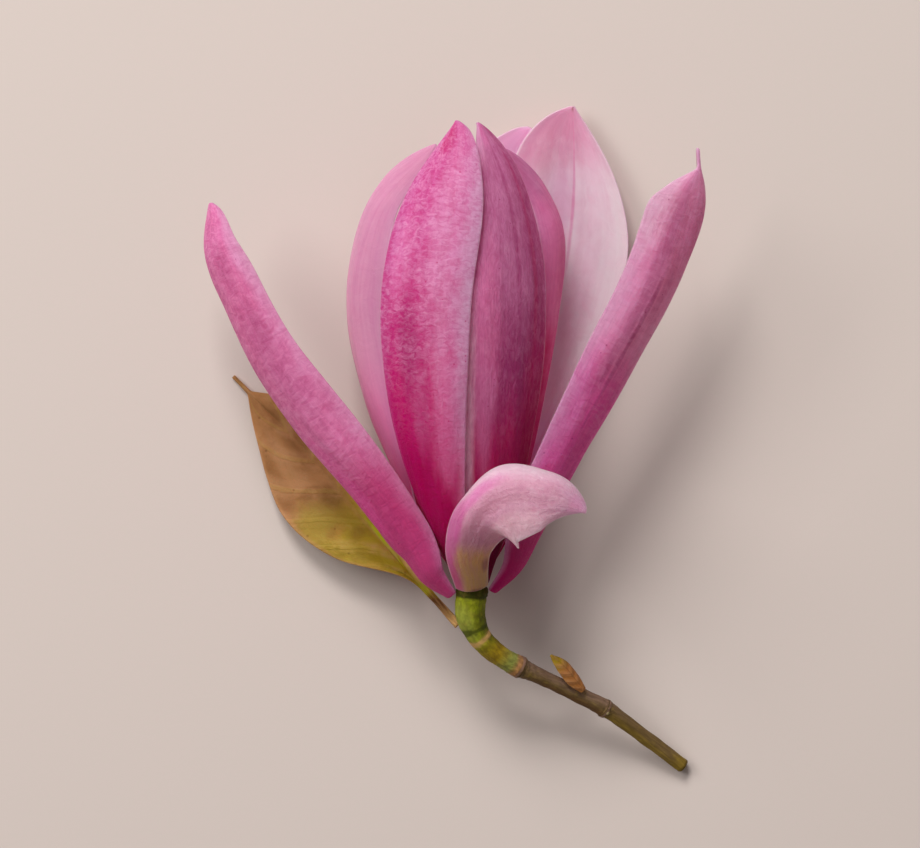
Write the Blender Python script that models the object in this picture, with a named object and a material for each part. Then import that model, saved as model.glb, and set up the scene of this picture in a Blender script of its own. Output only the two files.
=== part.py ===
"""A cut magnolia flower on a short piece of twig, lying on a flat surface.

Nine tepals in three whorls of three stand round a cone of carpels and a ring of stamens. The flower lies
on its side: its axis runs along +Y, the surface it lies on is z = 0 and the face that looks up is +Z. A green
stalk leads from the receptacle into a woody twig, which carries one large leaf and one small one.

Every blade (a tepal or a leaf) is described in the same way, by stations evenly spaced from its base to its
tip. Sizes in these descriptions are millimetres from the flower's base, the middle of the receptacle.
"""

from math import cos, pi, radians, sin, sqrt
from typing import NamedTuple

import bmesh
import bpy
import numpy as np
from mathutils import Vector

MM = 0.001

# Where the flower's base stands in the part's own frame, whose origin is under the middle of the whole part.
FLOWER_BASE = Vector((3.56, -30.15, 20.0))

BLADE_THICKNESS = 0.8
BLADE_ROWS = 20
BLADE_COLUMNS = 8
TIP_CROWDING = 1.3  # above 1 the rows stand closer together towards the tip

LINE_STEP = 0.004  # half the stretch of a spine over which its direction is read
TUBE_STEP = 0.01  # the same for a tube's line
LEAST_CURL = radians(1.0)
WAVE_START_MINUS, WAVE_START_PLUS = 1.0, 2.5

WELD = 0.00001

TWIG_SIDES = 12
TWIG_ROWS = 44
TWIG_COLOUR = (0.13, 0.12, 0.03, 1.0)

WOOD_ROUGHNESS = 0.6
FLESH_ROUGHNESS = 0.5

GOLDEN_ANGLE = pi * (3.0 - sqrt(5.0))

# The cone of carpels: its middle line with radii, and where the carpels stand on it.
CONE_SIDES, CONE_ROWS = 10, 8
CONE_LINE = ((0.0, 4.5, 0.0, 1.2), (0.0, 6.4, 0.0, 2.1), (0.0, 10.0, 0.0, 2.2), (0.0, 15.0, 0.0, 1.8),
             (0.0, 20.0, 0.0, 0.7))
CARPEL_COLOUR = (0.42, 0.44, 0.16, 1.0)
CARPELS = 26
CARPEL_SIDES, CARPEL_ROWS = 5, 5
CARPEL_FOOT, CARPEL_HEAD = 10.6, 18.6
CARPEL_FOOT_RADIUS, CARPEL_HEAD_RADIUS = 1.9, 0.9
# A carpel from its root to the end of its style: out from the cone, up along the axis, radius.
CARPEL_SHAPE = ((-0.9, -0.9, 0.5), (0.1, 0.2, 0.8), (0.4, 1.4, 0.6), (0.8, 2.4, 0.35), (1.5, 2.9, 0.22))

# The stamens: strips from a collar round the cone's foot.
STAMEN_COLOUR = (0.62, 0.30, 0.36, 1.0)
STAMENS = 33
STAMEN_SIDES, STAMEN_ROWS = 4, 4
STAMEN_TIERS = 3
TIER_LEAN = 0.25  # how much further out the tip of each next tier stands
TIER_DROP = 0.4  # how much lower each next tier is rooted
STAMEN_ROOT = 0.6  # how far above the collar's foot the first tier is rooted
STAMEN_FLATNESS = 0.6
COLLAR_INNER, COLLAR_OUTER = 2.6, 3.1
COLLAR_FOOT, COLLAR_HEAD = 6.4, 7.8
COLLAR_STEPS = 18
STAMEN_LENGTH = 6.8
# A stamen from its root to its tip: out from the axis, up along it, radius.
STAMEN_SHAPE = ((2.9, 0.0, 0.4), (3.5, 2.2, 0.45), (4.4, 4.6, 0.42), (4.8, STAMEN_LENGTH, 0.15))


class Blade(NamedTuple):
    """One thin blade, described at stations evenly spaced from its base to its tip."""

    name: str
    colour: tuple
    roughness: float
    spine: tuple  # places of the midrib
    facing: tuple  # degrees round the flower's axis that the outer face looks to: 0 is up, 90 is +X
    widths_minus: tuple  # width of the half on the -s side of the midrib
    widths_plus: tuple  # width of the half on the +s side
    curl_minus: tuple  # degrees by which the -s margin has turned towards the inner face
    curl_plus: tuple  # the same for the +s margin
    shoulder: float = 0.7  # where along the blade its tip begins to draw in
    point_minus: float = 0.8  # 0.5 draws the -s side in like an ellipse, 1 and more to a drawn-out point
    point_plus: float = 0.8  # the same for the +s side
    drawn_at: float = 1.0  # where along the blade its tip has drawn in; a thin tail runs on from there
    tip_width: float = 0.25  # half width that is left at the tip
    ripple: float = 0.0  # height of the waves along the margins
    ripples: float = 3.0  # how many waves there are


# The outer whorl: two long tepals splayed to the sides, and a short one curled over at the front.
OUTER = (
    Blade(
        "tepal_outer_left", (0.52, 0.13, 0.30, 1.0), 0.55,
        spine=((-4.3, -1.4, 0.8), (-9.3, 2.2, 1.9), (-12.7, 7.4, 3.0), (-17.1, 12.9, 3.6), (-22.3, 19.5, 4.0),
               (-28.6, 26.7, 4.4), (-35.3, 35.0, 4.6), (-42.3, 45.4, 4.6), (-48.1, 57.4, 4.2),
               (-52.1, 67.6, 3.2), (-52.1, 77.4, 2.0)),
        facing=(-72, -58, -60, -60, -58, -60),
        widths_minus=(2.8, 5.5, 7.5, 9.0, 8.0, 7.0),
        widths_plus=(2.6, 5.8, 7.6, 8.8, 9.8, 10.7, 10.7, 9.7, 8.6, 8.2, 8.2),
        curl_minus=(38, 35, 50, 60, 60, 50),
        curl_plus=(38, 38, 50, 60, 60, 50),
        shoulder=0.82, point_minus=0.6, point_plus=0.6,
    ),
    Blade(
        "tepal_outer_right", (0.50, 0.13, 0.29, 1.0), 0.55,
        spine=((4.3, -0.5, 0.8), (9.3, 4.4, 1.9), (12.5, 11.0, 3.0), (16.6, 19.6, 4.0), (21.3, 28.6, 5.0),
               (26.2, 37.1, 5.8), (31.2, 45.9, 6.5), (36.6, 55.6, 7.4), (41.3, 66.0, 8.0),
               (44.9, 76.9, 7.7), (44.7, 88.0, 7.0)),
        facing=(74, 62, 60, 58, 58, 60),
        widths_minus=(2.4, 6.6, 8.9, 10.6, 11.6, 14.0),
        widths_plus=(2.8, 5.6, 8.0, 9.0, 9.0, 9.0),
        curl_minus=(38, 35, 50, 60, 60, 50),
        curl_plus=(38, 35, 50, 60, 60, 50),
        shoulder=0.85, point_minus=0.6, point_plus=0.6, drawn_at=0.957, tip_width=0.35,
    ),
    Blade(
        "tepal_outer_front", (0.80, 0.42, 0.58, 1.0), 0.55,
        spine=((0.1, 0.0, 4.4), (-0.8, 8.0, 13.2), (0.6, 15.0, 18.8), (6.2, 18.9, 21.2),
               (14.6, 18.8, 21.2), (22.2, 15.9, 18.6)),
        facing=(0, 0, 0, 0, 0, 0),
        widths_minus=(3.4, 5.4, 5.4, 8.2, 6.3, 4.4),
        widths_plus=(3.4, 4.0, 4.9, 7.6, 9.9, 10.5, 9.5, 8.6, 6.6, 4.1, 1.6),
        curl_minus=(38, 60, 75, 75, 60, 30),
        curl_plus=(38, 20, 10, 10, 10, 10),
        shoulder=0.78, point_minus=0.5, point_plus=1.0, ripple=0.3,
    ),
)

# The middle whorl: two tepals that close the cup at the front, and the lowest one at its back.
MIDDLE = (
    Blade(
        "tepal_middle_left", (0.46, 0.03, 0.20, 1.0), 0.55,
        spine=((-2.6, 1.2, 2.0), (-6.6, 13.0, 8.4), (-9.4, 28.0, 14.0), (-10.4, 45.0, 17.5),
               (-9.8, 62.0, 18.2), (-7.4, 79.0, 14.5), (-3.0, 93.4, 7.0)),
        facing=(-52, -40, -28, -22, -20, -20, -20),
        widths_minus=(2.0, 4.4, 7.2, 9.2, 9.8, 9.4, 7.0),
        widths_plus=(2.5, 5.8, 8.4, 9.8, 10.4, 12.0, 11.0),
        curl_minus=(44, 35, 32, 30, 30, 30, 25),
        curl_plus=(44, 35, 32, 30, 30, 30, 25),
        shoulder=0.62, point_minus=0.95, point_plus=0.5,
    ),
    Blade(
        "tepal_middle_right", (0.42, 0.06, 0.19, 1.0), 0.55,
        spine=((2.6, 1.2, 2.0), (4.8, 13.0, 7.2), (6.0, 28.0, 11.6), (7.0, 45.0, 14.6),
               (7.4, 62.0, 15.2), (5.4, 79.0, 11.6), (1.0, 93.2, 4.4)),
        facing=(52, 36, 30, 28, 28, 26, 20),
        widths_minus=(2.5, 6.0, 8.6, 9.8, 9.8, 8.4, 6.0),
        widths_plus=(1.8, 5.2, 8.2, 9.6, 10.0, 9.9, 11.4),
        curl_minus=(44, 35, 32, 30, 30, 30, 25),
        curl_plus=(44, 35, 32, 30, 30, 30, 25),
        shoulder=0.62, point_minus=0.95, point_plus=0.7,
    ),
    Blade(
        "tepal_middle_back", (0.66, 0.32, 0.45, 1.0), 0.5,
        spine=((0.0, 1.2, -3.3), (-1.6, 14.0, -12.4), (-3.4, 30.0, -17.2), (-3.2, 46.0, -19.2),
               (-0.4, 62.0, -19.8), (4.2, 78.0, -19.6), (12.0, 94.0, -18.2)),
        facing=(180, 182, 182, 180, 178, 178, 178),
        widths_minus=(1.8, 3.4, 6.8, 9.2, 9.8, 9.2, 8.4),
        widths_plus=(2.5, 5.2, 9.6, 12.6, 13.4, 11.8, 7.2),
        curl_minus=(30, 14, 8, 8, 8, 8, 10),
        curl_plus=(44, 35, 30, 30, 30, 28, 25),
        shoulder=0.78, point_minus=0.5, point_plus=0.5,
    ),
)

# The inner whorl: one tepal at each side of the cup, and the large pale one that stands open at its back.
INNER = (
    Blade(
        "tepal_inner_left", (0.62, 0.22, 0.36, 1.0), 0.5,
        spine=((-2.2, 2.6, -0.4), (-10.0, 12.6, -1.2), (-16.0, 25.0, -2.5), (-21.2, 38.0, -3.5),
               (-24.4, 53.0, -4.0), (-23.8, 67.0, -3.5), (-18.6, 79.6, -1.5), (-7.0, 89.0, 1.0)),
        facing=(-108, -97, -88, -82, -80, -80, -75, -60),
        widths_minus=(1.3, 4.6, 7.4, 9.6, 11.0, 10.4, 8.0, 5.0),
        widths_plus=(0.6, 2.2, 7.2, 10.6, 12.0, 11.8, 9.0, 5.0),
        curl_minus=(34, 40, 44, 50, 55, 50, 40, 20),
        curl_plus=(34, 40, 50, 58, 62, 60, 50, 20),
        shoulder=0.7, point_minus=0.6, point_plus=0.6,
    ),
    Blade(
        "tepal_inner_right", (0.50, 0.12, 0.28, 1.0), 0.5,
        spine=((2.2, 2.6, -0.4), (7.8, 12.6, -1.2), (11.4, 26.0, -2.6), (14.6, 41.0, -3.8),
               (17.2, 56.0, -4.2), (18.3, 70.5, -4.0), (14.5, 80.4, -2.6), (6.4, 88.2, -0.4)),
        facing=(108, 100, 95, 95, 95, 92, 85, 60),
        widths_minus=(0.6, 1.6, 6.2, 9.4, 11.4, 11.4, 9.0, 5.0),
        widths_plus=(1.2, 3.1, 4.8, 6.0, 6.6, 6.4, 5.4, 4.0),
        curl_minus=(34, 38, 50, 60, 64, 62, 50, 20),
        curl_plus=(32, 34, 34, 36, 38, 36, 30, 20),
        shoulder=0.7, point_minus=0.6, point_plus=0.6,
    ),
    Blade(
        "tepal_inner_back", (0.76, 0.47, 0.58, 1.0), 0.5,
        spine=((0.0, 2.6, -2.2), (3.6, 14.0, -9.4), (8.8, 30.0, -13.6), (14.0, 46.0, -15.8),
               (18.0, 62.0, -17.0), (20.2, 79.0, -17.2), (20.7, 98.1, -15.4)),
        facing=(180, 174, 170, 172, 176, 178, 180),
        widths_minus=(1.4, 5.0, 9.0, 11.6, 13.6, 13.6, 13.0),
        widths_plus=(1.0, 4.2, 8.0, 10.6, 12.6, 15.8, 22.0),
        curl_minus=(26, 34, 34, 34, 34, 34, 25),
        curl_plus=(26, 34, 34, 34, 34, 34, 25),
        shoulder=0.72, point_minus=1.0, point_plus=0.65,
    ),
)

LEAVES = (
    Blade(
        "leaf", (0.26, 0.16, 0.05, 1.0), 0.5,
        spine=((-2.7, -7.3, -3.7), (-12.0, 2.3, -8.0), (-21.0, 12.6, -12.4), (-29.8, 22.6, -15.6),
               (-38.9, 32.8, -17.6), (-48.9, 43.0, -19.6)),
        facing=(0, -5, -10, -10, -5, 0),
        widths_minus=(0.8, 1.0, 9.8, 12.0, 7.4, 6.4),
        widths_plus=(0.8, 1.9, 8.5, 9.5, 8.0, 6.0),
        curl_minus=(10, 10, -8, -8, -8, 0),
        curl_plus=(10, 10, -25, -25, -20, 0),
        shoulder=0.72, point_minus=1.0, point_plus=1.0, drawn_at=0.94, tip_width=0.4, ripple=0.5,
    ),
    Blade(
        "side_leaf", (0.28, 0.12, 0.04, 1.0), 0.55,
        spine=((22.6, -20.6, -7.0), (20.6, -18.2, -6.0), (18.4, -15.6, -5.6), (15.8, -13.4, -6.0)),
        facing=(40, 40, 40, 40),
        widths_minus=(0.7, 1.7, 1.6, 1.2),
        widths_plus=(0.7, 1.9, 1.8, 1.2),
        curl_minus=(30, 50, 40, 20),
        curl_plus=(30, 50, 40, 20),
        shoulder=0.6,
    ),
)

# The twig's middle line, from the receptacle's top to the cut, with the radius at each place.
TWIG_LINE = (
    (0.0, 4.1, 0.0, 1.1),
    (0.0, 2.6, 0.0, 1.4),
    (0.0, 1.2, 0.0, 2.4),
    (0.0, 0.0, 0.0, 3.3),
    (-0.2, -1.6, -0.1, 3.1),
    (-0.3, -5.0, -0.5, 3.0),
    (1.2, -8.9, -1.4, 2.45),
    (4.1, -12.2, -2.8, 2.15),
    (7.5, -14.6, -4.2, 2.1),
    (9.6, -15.7, -5.0, 2.3),
    (10.8, -16.3, -5.4, 1.9),
    (14.4, -18.0, -6.6, 1.6),
    (20.4, -21.0, -8.8, 1.6),
    (25.8, -23.8, -10.8, 1.75),
    (27.0, -24.5, -11.3, 2.0),
    (28.4, -25.4, -12.0, 1.65),
    (35.0, -30.4, -15.2, 1.5),
    (43.2, -36.8, -18.6, 1.5),
)


def along(values, t):
    """Read a smooth curve through evenly spaced values, numbers or places, at t from 0 to 1."""
    values = np.asarray(values, dtype=float)
    last = len(values) - 1
    place = min(max(t, 0.0), 1.0) * last
    i = min(int(place), last - 1)
    f = place - i
    before = values[i - 1] if i > 0 else 2.0 * values[0] - values[1]
    after = values[i + 2] if i + 2 <= last else 2.0 * values[last] - values[last - 1]
    a, b = values[i], values[i + 1]
    bend = 2.0 * before - 5.0 * a + 4.0 * b - after
    twist = 3.0 * (a - b) + after - before
    return a + 0.5 * f * (b - before + f * (bend + f * twist))


def blade_point(blade, t, s):
    """Return the place of a blade's middle surface, t from base to tip and s from -1 to 1 across."""
    origin = Vector(along(blade.spine, t))
    behind = along(blade.spine, max(t - LINE_STEP, 0.0))
    ahead = Vector(along(blade.spine, min(t + LINE_STEP, 1.0)) - behind).normalized()
    turn = radians(float(along(blade.facing, t)))
    outward = Vector((sin(turn), 0.0, cos(turn)))
    outward = (outward - ahead * outward.dot(ahead)).normalized()
    across = ahead.cross(outward)
    if s < 0:
        widths, curls = blade.widths_minus, blade.curl_minus
        point, start = blade.point_minus, WAVE_START_MINUS
    else:
        widths, curls = blade.widths_plus, blade.curl_plus
        point, start = blade.point_plus, WAVE_START_PLUS
    draw = min(max(t - blade.shoulder, 0.0) / (blade.drawn_at - blade.shoulder), 1.0)
    width = max(float(along(widths, t)) * (1.0 - draw * draw) ** point, blade.tip_width)
    curl = radians(float(along(curls, t)))
    if abs(curl) < LEAST_CURL:
        curl = LEAST_CURL
    angle = curl * abs(s)
    radius = width / curl
    sideways = radius * sin(angle) * (-1.0 if s < 0 else 1.0)
    inward = radius * (1.0 - cos(angle))
    wave = blade.ripple * s * s * sin(pi * t) * sin(2.0 * pi * blade.ripples * t + start)
    return origin + across * sideways - outward * (inward + wave)


def material(name, colour, roughness):
    """Make a plain material."""
    made = bpy.data.materials.new(name)
    made.use_nodes = True
    shader = made.node_tree.nodes["Principled BSDF"]
    shader.inputs["Base Color"].default_value = colour
    shader.inputs["Roughness"].default_value = roughness
    shader.inputs["Metallic"].default_value = 0.0
    return made


def add_object(name, body, colour, roughness):
    """Turn a bmesh into a named object with its own material, shaded smooth."""
    bmesh.ops.recalc_face_normals(body, faces=body.faces)
    mesh = bpy.data.meshes.new(name)
    body.to_mesh(mesh)
    body.free()
    mesh.shade_smooth()
    mesh.materials.append(material(name, colour, roughness))
    made = bpy.data.objects.new(name, mesh)
    bpy.context.scene.collection.objects.link(made)
    return made


def placed(point):
    """Carry a place from the flower's frame, in millimetres, to the part's frame, in metres."""
    return (Vector(point) + FLOWER_BASE) * MM


def make_blade(blade):
    """Make one tepal or leaf: a shaped grid of triangles, alike on both faces once it has its thickness."""
    grid = bmesh.new()
    bmesh.ops.create_grid(grid, x_segments=BLADE_COLUMNS, y_segments=BLADE_ROWS, size=1.0)
    lowest = BLADE_THICKNESS / 2.0 - FLOWER_BASE.z
    for vert in grid.verts:
        s, t = vert.co.x, 1.0 - ((1.0 - vert.co.y) / 2.0) ** TIP_CROWDING
        point = blade_point(blade, t, s)
        point.z = max(point.z, lowest)
        vert.co = placed(point)
    bmesh.ops.triangulate(grid, faces=grid.faces, quad_method="FIXED")
    made = add_object(blade.name, grid, blade.colour, blade.roughness)
    wall = made.modifiers.new("thickness", "SOLIDIFY")
    wall.thickness = BLADE_THICKNESS * MM
    wall.offset = 0.0
    wall.use_even_offset = False
    return made


def sweep(line, sides, rows, hinge=None, flatness=1.0):
    """Make a closed tube along a smooth line of (x, y, z, radius), in millimetres from the flower's base.

    A hinge, where there is one, is the direction that stands square to the plane in which the line bends.
    """
    tube = bmesh.new()
    bmesh.ops.create_grid(tube, x_segments=sides, y_segments=rows, size=1.0)
    for vert in tube.verts:
        t = (vert.co.y + 1.0) / 2.0
        angle = pi * vert.co.x
        x, y, z, radius = along(line, t)
        before, after = along(line, max(t - TUBE_STEP, 0.0)), along(line, min(t + TUBE_STEP, 1.0))
        ahead = Vector((after - before)[:3]).normalized()
        side = hinge or ahead.cross(Vector((0.0, 0.0, 1.0))).normalized()
        up = side.cross(ahead)
        point = Vector((x, y, z)) + (side * cos(angle) + up * sin(angle) * flatness) * radius
        point.z = max(point.z, -FLOWER_BASE.z)
        vert.co = placed(point)
    bmesh.ops.remove_doubles(tube, verts=tube.verts, dist=WELD)
    bmesh.ops.holes_fill(tube, edges=tube.edges, sides=0)
    bmesh.ops.triangulate(tube, faces=tube.faces)
    return tube


def fuse(first, others):
    """Join closed bodies into the first one by a Boolean union, and remove the others."""
    group = bpy.data.collections.new("joined")
    bpy.context.scene.collection.children.link(group)
    for other in others:
        bpy.context.scene.collection.objects.unlink(other)
        group.objects.link(other)
    union = first.modifiers.new("union", "BOOLEAN")
    union.operation = "UNION"
    union.operand_type = "COLLECTION"
    union.collection = group
    union.solver = "EXACT"
    evaluated = first.evaluated_get(bpy.context.evaluated_depsgraph_get())
    joined = bpy.data.meshes.new_from_object(evaluated)
    first.modifiers.remove(union)
    first.data = joined
    for other in others:
        bpy.data.objects.remove(other)
    bpy.data.collections.remove(group)
    return first


def make_twig():
    """Make the receptacle, the green stalk and the woody twig, which grew in one, with rings at the nodes."""
    return add_object("twig", sweep(TWIG_LINE, TWIG_SIDES, TWIG_ROWS), TWIG_COLOUR, WOOD_ROUGHNESS)


def ring_place(radius, height, turn):
    """Return the place at a radius and height round the flower's axis."""
    return (radius * sin(turn), height, radius * cos(turn))


def make_gynoecium():
    """Make the cone of carpels, set on it in a spiral, each with a style that curls outwards."""
    core = add_object("gynoecium", sweep(CONE_LINE, CONE_SIDES, CONE_ROWS), CARPEL_COLOUR, FLESH_ROUGHNESS)
    carpels = []
    for i in range(CARPELS):
        share = (i + 0.5) / CARPELS
        height = CARPEL_FOOT + (CARPEL_HEAD - CARPEL_FOOT) * share
        body = CARPEL_FOOT_RADIUS + (CARPEL_HEAD_RADIUS - CARPEL_FOOT_RADIUS) * share
        turn = i * GOLDEN_ANGLE
        line = [
            (*ring_place(body + out, height + up, turn), radius) for out, up, radius in CARPEL_SHAPE
        ]
        hinge = Vector(ring_place(1.0, 0.0, turn + pi / 2.0))
        carpel = sweep(line, CARPEL_SIDES, CARPEL_ROWS, hinge)
        carpels.append(add_object(f"carpel_{i}", carpel, CARPEL_COLOUR, FLESH_ROUGHNESS))
    return fuse(core, carpels)


def make_stamens():
    """Make the ring of stamens: flat strips in three tiers, rooted in a collar round the foot of the cone."""
    collar = bmesh.new()
    outline = [
        collar.verts.new(placed((radius, height, 0.0)))
        for radius, height in (
            (COLLAR_INNER, COLLAR_FOOT), (COLLAR_OUTER, COLLAR_FOOT),
            (COLLAR_OUTER, COLLAR_HEAD), (COLLAR_INNER, COLLAR_HEAD),
        )
    ]
    edges = [collar.edges.new((outline[i], outline[(i + 1) % 4])) for i in range(4)]
    bmesh.ops.spin(
        collar, geom=outline + edges, cent=placed((0.0, 0.0, 0.0)), axis=(0.0, 1.0, 0.0),
        dvec=(0.0, 0.0, 0.0), angle=2.0 * pi, steps=COLLAR_STEPS, use_merge=True,
    )
    bmesh.ops.remove_doubles(collar, verts=collar.verts, dist=WELD)
    bmesh.ops.triangulate(collar, faces=collar.faces)
    base = add_object("stamens", collar, STAMEN_COLOUR, FLESH_ROUGHNESS)
    strips = []
    for i in range(STAMENS):
        tier = i % STAMEN_TIERS
        turn = 2.0 * pi * i / STAMENS
        lean, root = TIER_LEAN * tier / STAMEN_LENGTH, COLLAR_FOOT + STAMEN_ROOT - TIER_DROP * tier
        line = [(*ring_place(out + lean * up, root + up, turn), radius) for out, up, radius in STAMEN_SHAPE]
        hinge = Vector(ring_place(1.0, 0.0, turn + pi / 2.0))
        strip = sweep(line, STAMEN_SIDES, STAMEN_ROWS, hinge, STAMEN_FLATNESS)
        strips.append(add_object(f"stamen_{i}", strip, STAMEN_COLOUR, FLESH_ROUGHNESS))
    return fuse(base, strips)


def main():
    """Clear the file and build every piece."""
    for old in list(bpy.data.objects):
        bpy.data.objects.remove(old)
    for blade in OUTER + MIDDLE + INNER + LEAVES:
        make_blade(blade)
    make_twig()
    make_gynoecium()
    make_stamens()


if __name__ == "__main__":
    main()
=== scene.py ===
"""Dress the magnolia branch: tepals, leaves, twig and flower centre as fine meshes, each with its own finish.

The flower lies on its side: its axis runs along +Y and the face that looks up is +Z. The pieces are described
in millimetres from the flower's base, the middle of the receptacle, as in the part's own source.
"""

import logging
from dataclasses import dataclass, fields
from enum import Enum
from math import pi, radians, sqrt
from typing import Callable, Optional, Sequence

import bmesh
import bpy
import numpy as np
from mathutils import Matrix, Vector, noise


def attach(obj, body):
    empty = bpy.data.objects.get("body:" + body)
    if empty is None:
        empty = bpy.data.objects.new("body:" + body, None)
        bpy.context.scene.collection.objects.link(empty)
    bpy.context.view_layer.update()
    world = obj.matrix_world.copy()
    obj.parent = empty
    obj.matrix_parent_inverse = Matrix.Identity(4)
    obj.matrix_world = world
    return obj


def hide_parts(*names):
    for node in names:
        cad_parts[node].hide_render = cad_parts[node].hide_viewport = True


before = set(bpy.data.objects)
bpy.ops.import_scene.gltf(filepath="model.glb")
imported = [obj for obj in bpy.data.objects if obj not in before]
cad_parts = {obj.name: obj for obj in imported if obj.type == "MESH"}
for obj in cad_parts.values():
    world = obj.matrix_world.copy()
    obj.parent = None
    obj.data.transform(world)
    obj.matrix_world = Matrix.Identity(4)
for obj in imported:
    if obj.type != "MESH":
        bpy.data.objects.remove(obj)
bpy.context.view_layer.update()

LOG = logging.getLogger("magnolia")

MM = 0.001
FLOWER_BASE = Vector((3.56, -30.15, 20.0))
BODY = "root"
GOLDEN_ANGLE = pi * (3.0 - sqrt(5.0))
WELD = 0.00001
LINE_STEP = 0.01
SPINE_STEP = 0.004
BLADE_UV = "blade"
MIX_A, MIX_B, MIX_RESULT = 6, 7, 2

Socket = bpy.types.NodeSocket


class Slot(Enum):
    """The record's material slots."""

    TEPAL_OUTER = "tepal_outer"
    TEPAL_PALE = "tepal_pale"
    TEPAL_DEEP = "tepal_deep"
    TEPAL_INNER = "tepal_inner"
    CARPELS = "carpels"
    STAMENS = "stamens"
    TWIG = "twig"
    LEAF = "leaf"
    SIDE_LEAF = "side_leaf"


class Pigment(Enum):
    """The colours that the finishes are mixed from, linear red, green and blue."""

    WINE = (0.2, 0.0005, 0.024)
    CRIMSON = (0.4, 0.0005, 0.085)
    CARMINE = (0.5, 0.003, 0.14)
    MAGENTA = (0.52, 0.04, 0.22)
    FUCHSIA = (0.6, 0.11, 0.34)
    RASPBERRY = (0.62, 0.065, 0.235)
    ROSE = (0.72, 0.2, 0.41)
    PINK = (0.78, 0.24, 0.5)
    CERISE = (0.9, 0.11, 0.42)
    ORCHID = (0.92, 0.34, 0.56)
    DUSK = (0.6, 0.28, 0.42)
    LILAC = (0.8, 0.4, 0.62)
    MAUVE = (0.5, 0.17, 0.34)
    PLUM = (0.3, 0.03, 0.14)
    BLUSH = (0.74, 0.38, 0.51)
    PEARL = (0.92, 0.55, 0.69)
    MILK = (0.96, 0.66, 0.77)
    SHADE = (0.55, 0.27, 0.36)
    # Painted light: the salmon glow of light shining through a thin tepal, made pale to make up for shade
    # where it lies.
    SALMON = (0.97, 0.52, 0.6)
    TAN = (0.64, 0.38, 0.14)
    UMBER = (0.15, 0.055, 0.015)
    BRONZE = (0.42, 0.2, 0.075)
    COPPER = (0.54, 0.28, 0.13)
    RUST = (0.42, 0.17, 0.045)
    OLIVE = (0.36, 0.24, 0.012)
    STRAW = (0.5, 0.36, 0.06)
    LIME = (0.44, 0.44, 0.01)
    LEAF_GREEN = (0.3, 0.34, 0.012)
    PALE_GREEN = (0.3, 0.33, 0.07)
    # Dark moss green: a real dark ring on the stalk, and painted shade at the stalk's top and on its right
    # flank.
    MOSS = (0.06, 0.07, 0.006)
    BARK = (0.19, 0.12, 0.045)
    DARK_BARK = (0.06, 0.035, 0.012)
    HEATHER = (0.26, 0.16, 0.12)
    SCAR = (0.26, 0.15, 0.11)
    CREAM = (0.6, 0.52, 0.25)
    SHELL = (0.7, 0.62, 0.575)

    @property
    def rgba(self) -> tuple[float, float, float, float]:
        """The colour with full opacity."""
        return (*self.value, 1.0)


def along(values: Sequence, t: np.ndarray) -> np.ndarray:
    """Read a smooth curve through evenly spaced values.

    Args:
        values: Numbers or rows of numbers, the first at 0 and the last at 1.
        t: Where to read, from 0 to 1.

    Returns:
        One value or row for each t.
    """
    table = np.asarray(values, dtype=float)
    last = len(table) - 1
    place = np.clip(t, 0.0, 1.0) * last
    i = np.minimum(place.astype(int), last - 1)
    f = place - i
    if table.ndim > 1:
        f = f[:, None]
    ends = np.concatenate((2.0 * table[:1] - table[1:2], table, 2.0 * table[-1:] - table[-2:-1]))
    before, a, b, after = (ends[i + k] for k in range(4))
    bend = 2.0 * before - 5.0 * a + 4.0 * b - after
    twist = 3.0 * (a - b) + after - before
    return a + 0.5 * f * (b - before + f * (bend + f * twist))


def ahead_of(values: Sequence, t: np.ndarray, step: float) -> np.ndarray:
    """Read which way a line runs: rows of x, y, z at length 1.

    Args:
        values: Rows that begin with x, y and z, evenly spaced along the line.
        t: Where to read, from 0 to 1.
        step: How far to each side the line is looked at.

    Returns:
        One direction for each t.
    """
    steps = along(values, np.minimum(t + step, 1.0)) - along(values, np.maximum(t - step, 0.0))
    return unit(steps[:, :3])


def rise(value: np.ndarray, start: float, end: float) -> np.ndarray:
    """Return a soft step from 0 at start to 1 at end."""
    x = np.clip((value - start) / (end - start), 0.0, 1.0)
    return x * x * (3.0 - 2.0 * x)


def unit(rows: np.ndarray) -> np.ndarray:
    """Return each row at length 1."""
    return rows / np.linalg.norm(rows, axis=1, keepdims=True)


def bumps(a: np.ndarray, b: np.ndarray, c: np.ndarray) -> np.ndarray:
    """Return a smooth noise value, about -1 to 1, for each place a, b, c."""
    return np.array([noise.noise(Vector(place)) for place in zip(a, b, c)])


def ring_place(radius: float, height: float, turn: float) -> tuple[float, float, float]:
    """Return the place at a radius and height round the flower's axis."""
    return (radius * np.sin(turn), height, radius * np.cos(turn))


def start_sheet(columns: int, rows: int) -> tuple[bmesh.types.BMesh, np.ndarray, np.ndarray]:
    """Begin a sheet with blade coordinates, to be bent into its shape.

    Args:
        columns: Its faces from side to side.
        rows: Its faces from end to end.

    Returns:
        The flat sheet, and each corner's place across it, from -1 to 1, and along it, from 0 to 1.
    """
    sheet = bmesh.new()
    layer = sheet.loops.layers.uv.new(BLADE_UV)
    bmesh.ops.create_grid(sheet, x_segments=columns, y_segments=rows, size=1.0)
    for face in sheet.faces:
        for loop in face.loops:
            loop[layer].uv = ((loop.vert.co.x + 1.0) / 2.0, (loop.vert.co.y + 1.0) / 2.0)
    across = np.array([vert.co.x for vert in sheet.verts])
    return sheet, across, np.array([(vert.co.y + 1.0) / 2.0 for vert in sheet.verts])


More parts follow.
